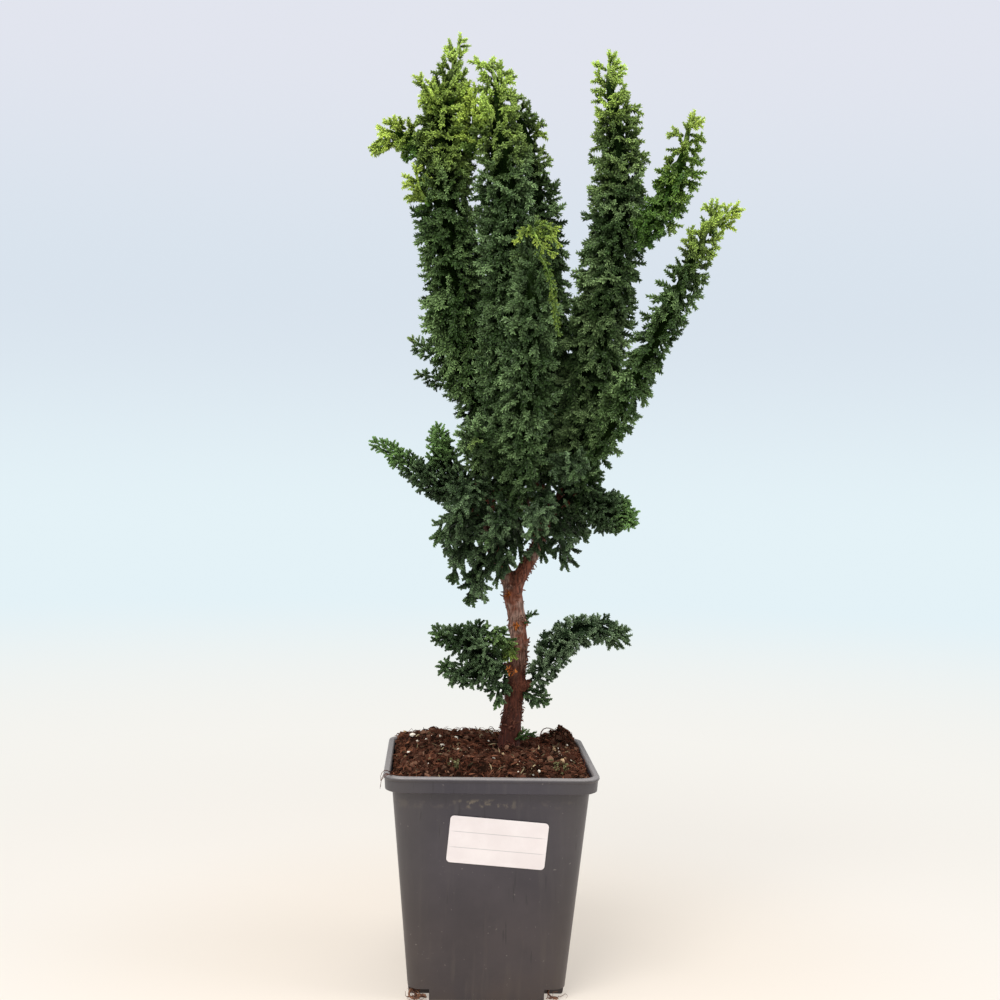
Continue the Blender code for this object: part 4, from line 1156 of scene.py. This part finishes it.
line = shoots.keep(line, "way", shoots.add("GeometryNodeInputTangent").outputs[0],
                   "FLOAT_VECTOR")
reach = stored("reach")
guide_radius = shoots.maths("MAXIMUM", shoots.minus(reach, times(thickness, twig_room)),
                            times(reach, least_guide_share))
stem_radius = shoots.maths("MAXIMUM", times(thickness, least_stem),
                           shoots.minus(times(guide_radius, stem_share), stem_inset))
lumps = shoots.add("ShaderNodeTexVoronoi", {"Scale": 260.0}).outputs["Distance"]
lumps = grade(lumps, 0.55, 0.1)
stem = shoots.tube(line, 10, stem_radius)
# Painted shade: the stem takes the leaves' deep shade colour, less of it on thin shoots and on its
# lumps.
stem = shoots.keep(stem, "twig_part", shoots.plus(grade(reach, 0.012, 0.006, 0.0, 0.5),
                                                  times(lumps, 0.42)))
stem = shoots.raised(stem, times(lumps, times(reach, 0.16)))
guide = shoots.tube(line, 10, guide_radius)
spots = shoots.spread(guide, {"Density Max": 900000.0, "Selection": shoots.compare(
    stored("leafy"), "GREATER_THAN", leafy_from)})
points = shoots.keep(spots["Points"], "tone", shoots.chance(0.0, 1.0, 5))
lean = shoots.add("ShaderNodeMapRange", {0: stored("shoot_part"), 1: 0.5,
                  3: given["Lean Foot"], 4: given["Lean Tip"]}).outputs[0]
along = shoots.scaled(stored("way", "FLOAT_VECTOR"), lean)
drop = shoots.add("ShaderNodeCombineXYZ", {2: times(given["Droop"], -1.0)}).outputs[0]
stray = shoots.chance_vector((-0.5, -0.5, -0.5), (0.5, 0.5, 0.5), 6)
# Some twigs stand straight out and others lie along the shoot, so that they cover its stem.
lifted = shoots.scaled(spots["Normal"], shoots.chance(0.3, 1.25, 7))
aim = shoots.vector("ADD", shoots.vector("ADD", lifted, along),
                    shoots.vector("ADD", drop, stray))
roll = shoots.add("FunctionNodeAxisAngleToRotation", {"Axis": (0.0, 0.0, 1.0),
                  "Angle": shoots.chance(0.0, 6.283, 8)}).outputs[0]
turned = shoots.turned(shoots.aligned(aim), roll)
swell = grade(shoots.noise(None, 75.0, 1.0), 0.3, 0.7, 0.85, 1.12)
scale = times(times(swell, shoots.chance(0.9, 1.1, 9)), thickness)
local_reach = shoots.plus(reach, shoots.chance(-0.002, 0.002, 10))
picks = shoots.add("GeometryNodeJoinGeometry")
for twig in reversed(twigs):
    shoots.give(picks.inputs[0], shoots.shape_of(twig, True))
made = shoots.add("GeometryNodeJoinGeometry")
shoots.give(made.inputs[0], stem)
ends = shoots.add("GeometryNodeCurveToPoints", {"Curve": line}, mode="EVALUATED").outputs[0]
at_end = shoots.compare(stored("shoot_part"), "GREATER_THAN", 0.999)
onward = shoots.aligned(stored("way", "FLOAT_VECTOR"))
first_twig = times(given["Blunt"], 3.0)
# The reach at a spot says which size of fan grows there. Each shoot ends in a small one.
for (fine, blunt), low, high in zip(fans, (-1.0, small_fan_reach, middle_fan_reach),
                                    (small_fan_reach, middle_fan_reach, 1.0)):
    layout = shoots.add("GeometryNodeSwitch", {
        "Switch": given["Blunt"], "False": shoots.shape_of(fine),
        "True": shoots.shape_of(blunt)}, input_type="GEOMETRY").outputs[0]
    which = shoots.add("FunctionNodeRandomValue", {
        4: first_twig, 5: shoots.plus(first_twig, 2.0), "Seed": 2},
        data_type="INT").outputs[2]
    fan = shoots.laid(layout, picks.outputs[0], shoots.aligned(stored("aim", "FLOAT_VECTOR")),
                      stored("size", "FLOAT_VECTOR"),
                      {"Pick Instance": True, "Instance Index": which})
    fits = shoots.add("FunctionNodeBooleanMath", {
        0: shoots.compare(local_reach, "GREATER_EQUAL", low),
        1: shoots.compare(local_reach, "LESS_THAN", high)}, operation="AND").outputs[0]
    shoots.give(made.inputs[0], shoots.laid(points, fan, turned, scale, {"Selection": fits}))
    if high == small_fan_reach:
        tip = shoots.laid(shoots.keep(ends, "tone", 0.5), fan, onward, thickness,
                          {"Selection": at_end})
        shoots.give(made.inputs[0], tip)
aged = shoots.plus(given["Start Age"], times(stored("shoot_part"), given["Youth"]))
shoots.finish(shoots.keep(shoots.realize(made.outputs[0]), "shoot_part", aged))


def grow_shoot(name, leaves, root, route, apart, lean_foot, lean_tip, droop, thickness=1.0,
               youth=1.0, blunt=False, start_age=0.0):
    """Leaves one shoot along its route of (x, y, z, reach) points in mm, on a stem from root."""
    line = list(route)
    leafy = [1.0] * len(line)
    if root:
        line.insert(0, (*root, 4.0))
        leafy.insert(0, 0.0)
    shoot = lines_object(name + "_leaves", [line], "reach")
    note(shoot, "leafy", leafy)
    run_nodes(shoot, shoots, {
        "Apart": apart * mm, "Lean Foot": lean_foot, "Lean Tip": lean_tip, "Droop": droop,
        "Thickness": thickness, "Youth": youth, "Start Age": start_age, "Blunt": blunt,
        "Seed": sum(map(ord, name)), "Material": leaves})
    for attribute in ("way", "aim", "size", "leafy", "reach", "thick"):
        if attribute in shoot.data.attributes:
            shoot.data.attributes.remove(shoot.data.attributes[attribute])
    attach(shoot, "root")
    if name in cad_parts:
        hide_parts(name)


# The upright shoots stand side by side like ropes, the tallest at the left and right.
upright_shoots = (
    ("shoot_left_leader", leaf_middle, (-8.6, 15.6, 264),
     ((-9, 17, 268, 9), (-8, 18, 295, 11.5), (-12, 18, 313, 15), (-21, 18, 338, 19),
      (-25, 15, 372, 18.5), (-29.5, 10, 415, 18.5), (-31, 6, 450, 18.5), (-30, 4, 466, 16),
      (-28, 2, 477, 10.5), (-26.5, 1, 487, 7.5), (-24, 1, 498, 5))),
    ("shoot_middle", leaf_dark, (1.6, -2.6, 262),
     ((3, -4, 266, 11), (5, -6, 300, 18), (5, -7, 345, 18), (3, -7, 390, 18),
      (1, -6, 430, 17.5), (-3, -5, 458, 15), (-3, -4, 473, 9.5), (-6, -4, 483, 6.5),
      (-13, -3, 487, 4))),
    ("shoot_inner_right", leaf_dark, (27, 13.6, 264),
     ((27, 15, 268, 10), (31, 17, 300, 16.5), (30, 18, 345, 16), (26, 16, 385, 14.5),
      (21, 14, 420, 13.3), (15.5, 11, 446, 12.2), (9, 8, 462, 9.5), (4, 6, 472, 6))),
    ("shoot_front", leaf_dark, (14.8, -14.6, 257),
     ((13, -18, 261, 10), (13, -24, 290, 16.5), (15, -29, 320, 16.5), (16, -32, 352, 14.5),
      (15, -33, 382, 9), (17, -33, 396, 6))),
    ("shoot_right_leader", leaf_dark_lit, (38, 4, 264),
     ((40, 4, 268, 12), (46, 5, 295, 20), (51, 4, 325, 20), (56, 1, 360, 19.5),
      (61, -1, 395, 19), (63, -1, 430, 17.5), (61, 1, 458, 15), (57, 2, 481, 9.5),
      (57, 2, 492, 5.5))),
    ("shoot_right_side", leaf_light, None,
     ((73, -9, 396, 6.5), (79, -11, 405, 13), (86.5, -14, 416, 14), (91, -15, 429, 13.5),
      (96, -13, 443, 9.5), (97.5, -12, 452, 8.5), (99.5, -12, 458, 5))),
    ("shoot_far_right", leaf_middle, (47.6, -9.6, 266),
     ((49, -12, 271, 6), (57, -16, 291, 11), (68.5, -20, 315, 13), (83.5, -23, 346, 13),
      (96, -24, 375, 12.5), (106, -23, 397, 8), (111, -22, 410, 5))),
    ("shoot_back_left", leaf_dark, (-3.6, 22, 270),
     ((-2, 25, 274, 9), (-1, 34, 305, 15), (-4, 38, 345, 15), (-10, 36, 385, 11),
      (-14, 30, 412, 5))),
    ("shoot_back_middle", leaf_dark, (23.4, 22, 270),
     ((22, 25, 274, 9), (25, 34, 305, 15), (30, 41, 345, 15), (31, 38, 380, 10),
      (29, 33, 402, 5))),
    ("shoot_back_right", leaf_dark, (45.6, 14.4, 269),
     ((48, 16, 274, 9), (53, 23, 302, 15), (57, 28, 335, 15), (58, 27, 365, 10),
      (56, 23, 384, 5))))
# How old a shoot's end is: yellow-green from about 1 on, and green to the tip below 0.85.
end_age = {"shoot_left_leader": 1.07, "shoot_middle": 1.05, "shoot_right_leader": 1.05,
           "shoot_front": 0.82, "shoot_right_side": 0.82}
for name, leaves, root, route in upright_shoots:
    grow_shoot(name, leaves, root, route, apart=4.5, lean_foot=-0.6, lean_tip=1.0, droop=0.35,
               youth=end_age.get(name, 1.0))

# Short sprays stand off the upright shoots near their tops.
top_sprays = (
    ("spray_top_left", leaf_light, None,
     ((-42, 8, 443, 10), (-51, 9, 450, 12), (-59, 10, 451, 9), (-66, 10, 445, 4))),
    ("tuft_top_left", leaf_light, None,
     ((-30, 0, 463, 6), (-37, -2, 470, 7.5), (-43, -3, 476, 3.5))),
    ("tuft_between_tops", leaf_light, None,
     ((-14, -2, 440, 8), (-15, -3, 456, 9), (-15, -3, 471, 6))),
    ("tuft_left_side", leaf_light, None,
     ((-38, 2, 412, 5), (-43, 0, 420, 6.5), (-45, -1, 428, 3.5))),
    ("spray_right_hanging", leaf_dark, None,
     ((82, -17, 407, 5), (85, -18, 405, 5), (87, -19, 402, 3))),
    ("spray_far_right_tip", leaf_light, None,
     ((109, -21, 399, 5.5), (116, -19, 406, 7.5), (121, -18, 411, 3))),
    ("spray_front_upper", leaf_dark, None,
     ((-8, -14, 284, 7), (-11, -23, 288, 10.5), (-12, -30, 290, 8), (-12, -35, 288, 4))))
for name, leaves, root, route in top_sprays:
    light, middle = leaves is leaf_light, leaves is leaf_middle
    grow_shoot(name, leaves, root, route, apart=4.0, lean_foot=0.4, lean_tip=1.0, droop=0.1,
               youth=1.15 if light else 1.0 if middle else 0.8, start_age=0.3 if light else 0.0)

# Two single thin twigs stick out at the left.
thin_twigs = (
    ("twig_left_upper", leaf_dark, None,
     ((-34, 14, 334, 5.5), (-40, 13, 337, 6), (-45, 12, 341, 3))),
    ("twig_left_lower", leaf_dark, None,
     ((-28, 14, 319, 5.5), (-35, 13, 322, 6), (-41, 12, 323, 3))))
for name, leaves, root, route in thin_twigs:
    grow_shoot(name, leaves, root, route, apart=2.3, lean_foot=0.5, lean_tip=1.0, droop=0.2,
               thickness=0.6, youth=0.86)

# A young yellow spray stands on the front shoot's end, and a thin stripe of it hangs down.
young_front = (
    ("young_front_left", ((15, -37, 395, 3.5), (11, -39, 394, 3.6), (7, -39, 389, 2.4))),
    ("young_front_right", ((15, -37, 395, 3.5), (21, -38, 397, 3.6), (26, -38, 395, 2.4))),
    ("young_front_side", ((18, -38, 391, 3.5), (24, -39, 391, 3.4), (28, -38, 388, 2.2))),
    ("young_front_strand", ((15, -38, 395, 3.2), (17, -41, 390, 3), (20, -42.5, 385, 2.8),
                            (25, -43, 382.5, 2.2))),
    ("young_front_stripe", ((17, -41, 383, 2.6), (21, -44, 377, 2.6), (23.5, -46, 370, 2.4),
                            (25.5, -47, 360, 2.3), (27, -47, 350, 2.2), (29, -46, 342, 1.8))))
for name, route in young_front:
    stripe = name == "young_front_stripe"
    grow_shoot(name, leaf_light, None, route, apart=1.3 if stripe else 2.0, lean_foot=1.0,
               lean_tip=1.3, droop=0.1, thickness=0.34 if stripe else 0.46,
               youth=-0.2 if stripe else 0.4, start_age=0.6)

# The crown's skirt: sprays that reach out or hang all round its foot, over the fork.
skirt_sprays = (
    ("spray_left_arm", leaf_blue, (-12.6, -2, 252.4),
     ((-15, -4, 256, 7), (-27, -9, 262, 10), (-38, -12, 268.5, 10), (-48, -14, 275.5, 8),
      (-57, -16, 282, 6.5), (-63, -16, 285, 4))),
    ("spray_left_upper", leaf_blue, (-6, 11, 254),
     ((-19, -4, 266, 6.5), (-26, -12, 275, 10.5), (-30, -16, 285, 7.5), (-31, -17, 293, 3.5))),
    ("spray_right_arm", leaf_blue, (41, -6, 256.2),
     ((45, -8.5, 255.5, 8.5), (54, -11, 253, 13), (64, -13, 250, 12), (72, -14, 248, 6.5))),
    ("spray_hanging_left", leaf_blue, (-7, 3, 245.6),
     ((-12, -8, 247, 7), (-19, -13, 246, 10), (-25, -15, 242, 8), (-29, -16, 237, 3.5))),
    ("spray_hanging_left_low", leaf_blue, (-1.5, 5.5, 234),
     ((-9, -6, 238, 7), (-15, -11, 232, 10), (-19, -14, 225, 7.5), (-21, -15, 218, 3.5))),
    ("spray_hanging_left_front", leaf_blue, (0, 4.6, 229.4),
     ((-4, -4, 230, 7), (-7, -8, 222, 10), (-10, -10, 214, 9), (-12, -11, 206, 4))),
    ("spray_hanging_middle", leaf_blue, (-1.5, 5.5, 234.6),
     ((3, -6, 237, 6), (4, -12, 232, 8.5), (3, -15, 224, 8), (2, -16, 216, 3.5))),
    ("spray_hanging_back_left", leaf_blue, (-4.6, 9.5, 249),
     ((-11, 17, 250, 7), (-17, 23, 244, 10.5), (-21, 27, 236, 7.5), (-24, 29, 229, 3.5))),
    ("spray_hanging_right_near", leaf_blue, (26, 3, 238.6),
     ((22, -7, 241.5, 5.5), (24, -11, 235.5, 8), (26, -13.5, 229, 3))),
    ("spray_hanging_right", leaf_blue, (29, 3, 245.6),
     ((33, -6, 246, 6), (35, -10, 239, 9), (37, -12, 231, 7.5), (38, -12, 225, 3.5))),
    ("spray_hanging_right_far", leaf_blue, (32.6, 3, 252.6),
     ((40, 3, 252, 6), (45, 1, 245, 9), (48, -1, 239, 3.5))),
    ("spray_hanging_back_right", leaf_blue, (28.2, 8, 253.6),
     ((35, 15, 252, 7), (41, 22, 247, 10.5), (46, 28, 240, 4))),
    ("spray_back_low", leaf_blue, (-3, 7, 243),
     ((11, 12, 246, 7), (10, 22, 245, 10.5), (10, 31, 240, 8.5), (10, 36, 234, 4))),
    ("spray_front_left", leaf_blue, (-0.6, 1, 256),
     ((-7, -12, 261, 7), (-13, -21, 262, 11), (-18, -28, 257, 9), (-21, -32, 250, 4))),
    ("spray_front_middle", leaf_blue, (17, -11.6, 252.6),
     ((8, -16, 253, 7), (4, -22, 250, 10), (0, -27, 244, 9.5), (-3, -30, 237, 4))),
    ("spray_front_right", leaf_blue, (20.4, -6.6, 246.6),
     ((25, -13, 258, 7), (24, -22, 256, 10.5), (21, -29, 250, 9.5), (18, -33, 243, 4))),
    ("spray_front_far_right", leaf_blue, (42, -5, 258.4),
     ((36, -12, 273, 7), (38, -23, 277, 11), (39, -31, 276, 8), (40, -36, 272, 4))))
# Short fills close the crown between the skirt and the upright shoots.
crown_fill = (
    ("fill_middle", leaf_dark, None,
     ((-10, 8, 248, 6), (-2, 8, 256, 10), (7, 8, 260, 11), (16, 8, 257, 9))),
    ("fill_under_fork", leaf_blue, None, ((11, -4, 241, 5), (13, -6, 235, 6), (14, -7, 229, 3))),
    ("fill_left_fork", leaf_blue, None, ((-4, -2, 246, 7), (-9, -6, 252, 10), (-13, -9, 258, 6))),
    ("fill_right_fork", leaf_blue, None, ((32, -3, 252, 7), (38, -7, 258, 10), (43, -11, 265, 6))),
    ("fill_right_limb", leaf_dark, None, ((40, -3, 258, 7), (46, -7, 265, 10), (50, -10, 273, 7))))
bright_arms = ("spray_left_arm", "spray_left_upper", "spray_right_arm")
for name, leaves, root, route in skirt_sprays + crown_fill:
    if name in bright_arms:
        grow_shoot(name, leaves, root, route, apart=2.0, lean_foot=0.6, lean_tip=1.0,
                   droop=0.1, thickness=0.6, youth=1.2, blunt=True)
    else:
        grow_shoot(name, leaves, root, route, apart=4.1, lean_foot=0.5, lean_tip=1.2,
                   droop=0.5, thickness=0.95, youth=0.8, blunt=True)

# Two low branches leave the trunk at half height, one to each side, with a tuft between.
low_sprays = (
    ("spray_low_left", leaf_blue, (8, -6.6, 167.2),
     ((4, -9, 169, 7), (-4, -15, 174.5, 10), (-13, -20, 181, 10.5), (-21, -24, 185, 7.5),
      (-29, -26, 187, 4.5))),
    ("spray_low_left_upper", leaf_blue, None,
     ((-2, -12, 180, 5), (-7, -13, 185, 6.5), (-12, -15, 188.5, 3))),
    ("spray_low_left_under", leaf_blue, (12.4, -3, 163.6),
     ((2, -12, 164.3, 6.5), (-8, -19, 165, 10.5), (-18, -24, 166.5, 7.5),
      (-25, -26, 169, 3.5))),
    ("spray_low_left_inner", leaf_blue, (12.4, -2, 156.6),
     ((6, -8.5, 157.5, 5), (3.5, -12.5, 154, 6.5), (3, -14, 150, 2.5))),
    ("spray_low_front_tuft", leaf_middle, (13, -3, 178),
     ((-3, -15, 187, 4), (1, -16, 185, 7), (6, -16, 180.5, 8), (10, -15, 175.5, 4.5))),
    ("spray_low_right", leaf_blue_pale, (21.6, -4.2, 158.2),
     ((25, -6, 161, 8), (29, -10, 169, 11), (34, -13, 179, 12), (42, -16, 187, 11.5),
      (53, -18, 190, 11), (61, -19, 188.5, 9.5), (65.5, -20, 186, 7), (69, -20, 186, 4))),
    ("spray_low_right_under", leaf_blue, (14, -2, 152.4),
     ((20.5, -6, 153, 5), (24, -9, 151, 5.5), (28, -10, 150.5, 2.5))))
for name, leaves, root, route in low_sprays:
    grow_shoot(name, leaves, root, route, apart=2.6, lean_foot=0.5, lean_tip=1.1, droop=0.25,
               thickness=0.72, youth=0.92 if leaves is leaf_middle else 0.85,
               blunt=name != "spray_low_right")

# Two tiny sprigs sprout straight from the trunk, one halfway up and one at its foot.
sprigs = (
    ("sprig_on_trunk", leaf_middle, (14.6, 0, 189),
     ((18.0, -2, 191.2, 3), (19.8, -3, 193.4, 3.3), (21.6, -4, 195, 2))),
    ("sprig_at_base", leaf_middle, (12, -1, 126.6),
     ((14.5, -6, 128.5, 4), (18, -7, 130.5, 5), (21.5, -8, 131.5, 3))))
for name, leaves, root, route in sprigs:
    grow_shoot(name, leaves, root, route, apart=2.6, lean_foot=0.4, lean_tip=1.0, droop=0.0,
               thickness=0.62, youth=0.5)

for shape in (*twigs, *(fan for pair in fans for fan in pair), bark_flake, dry_spike,
              crumb_shape, chip_shape, grain_shape, shred_shape):
    bpy.data.objects.remove(shape)


# The studio. The pot stands on a plain pale floor, under a large soft light above the front, a
# small one over the crown and one at each side, before a pale background from cream to blue.
floor_paint, look = new_material("pale_floor")
far = look.add("ShaderNodeVectorMath", {0: look.place()}, operation="LENGTH").outputs["Value"]
shader = look.tree.nodes["Principled BSDF"]
look.give(shader.inputs["Base Color"], look.mix(look.grade(far, 0.1, 1.2), (0.93, 0.84, 0.75),
                                                (0.90, 0.92, 0.92)))
look.give(shader.inputs["Roughness"], 0.7)
sky_low = (0.775, 0.885, 0.930)
cream = look.mix(look.grade(far, 0.08, 0.32), (0.89, 0.815, 0.72), (0.93, 0.905, 0.855))
haze = look.add("ShaderNodeEmission", {
    "Color": look.mix(look.grade(far, 0.35, 2.2), cream, sky_low), "Strength": 1.0})
blend = look.add("ShaderNodeMixShader", {0: look.grade(far, 0.05, 0.7, 0.5, 1.0),
                 1: shader.outputs[0], 2: haze.outputs[0]})
look.give(look.tree.nodes["Material Output"].inputs["Surface"], blend.outputs[0])
floor_radius, floor_sides = 6.0, 64
ring = [(floor_radius * math.cos(math.tau * i / floor_sides),
         floor_radius * math.sin(math.tau * i / floor_sides), 0.0) for i in range(floor_sides)]
floor = mesh_piece("floor", ring, [tuple(range(floor_sides))], floor_paint)


def soft_light(name, place, aim_at, width, height, power, colour):
    """A soft rectangular lamp at a place, turned to what it lights."""
    light = bpy.data.lights.new(name, "AREA")
    light.shape = "RECTANGLE"
    light.size = width
    light.size_y = height
    light.energy = power
    light.color = colour
    lamp = bpy.data.objects.new(name, light)
    bpy.context.scene.collection.objects.link(lamp)
    way = (Vector(aim_at) - Vector(place)).to_track_quat("-Z", "Y")
    lamp.matrix_world = Matrix.Translation(place) @ way.to_matrix().to_4x4()


soft_light("key", (-0.45, -0.85, 1.25), (0.0, 0.0, 0.25), 0.8, 0.6, 15.2, (1.0, 0.98, 0.95))
soft_light("over_crown", (0.05, -0.14, 0.84), (0.02, 0.0, 0.42), 0.4, 0.3, 1.8, (1.0, 1.0, 0.98))
soft_light("left_fill", (-1.3, -0.3, 0.5), (0.0, 0.0, 0.25), 0.7, 1.0, 4.0, (0.97, 0.98, 1.0))
soft_light("right_fill", (1.3, -0.3, 0.6), (0.0, 0.0, 0.25), 0.7, 1.0, 9.5, (0.97, 0.98, 1.0))

world = bpy.data.worlds.new("studio_air")
world.use_nodes = True
bpy.context.scene.world = world
look = Nodes(world.node_tree)
rise = look.axis(look.add("ShaderNodeTexCoord").outputs["Generated"], 2)
seen = look.add("ShaderNodeLightPath").outputs["Is Camera Ray"]
air = look.mix(look.grade(rise, -0.046, 0.12), sky_low, (0.695, 0.770, 0.850))
air = look.mix(look.grade(rise, 0.12, 0.30), air, (0.760, 0.782, 0.860))
shade = world.node_tree.nodes["Background"]
look.give(shade.inputs["Color"], look.mix(seen, (0.80, 0.80, 0.80), air))
look.give(shade.inputs["Strength"], look.add("ShaderNodeMapRange", {
    0: seen, 3: 0.52, 4: 1.0}).outputs[0])
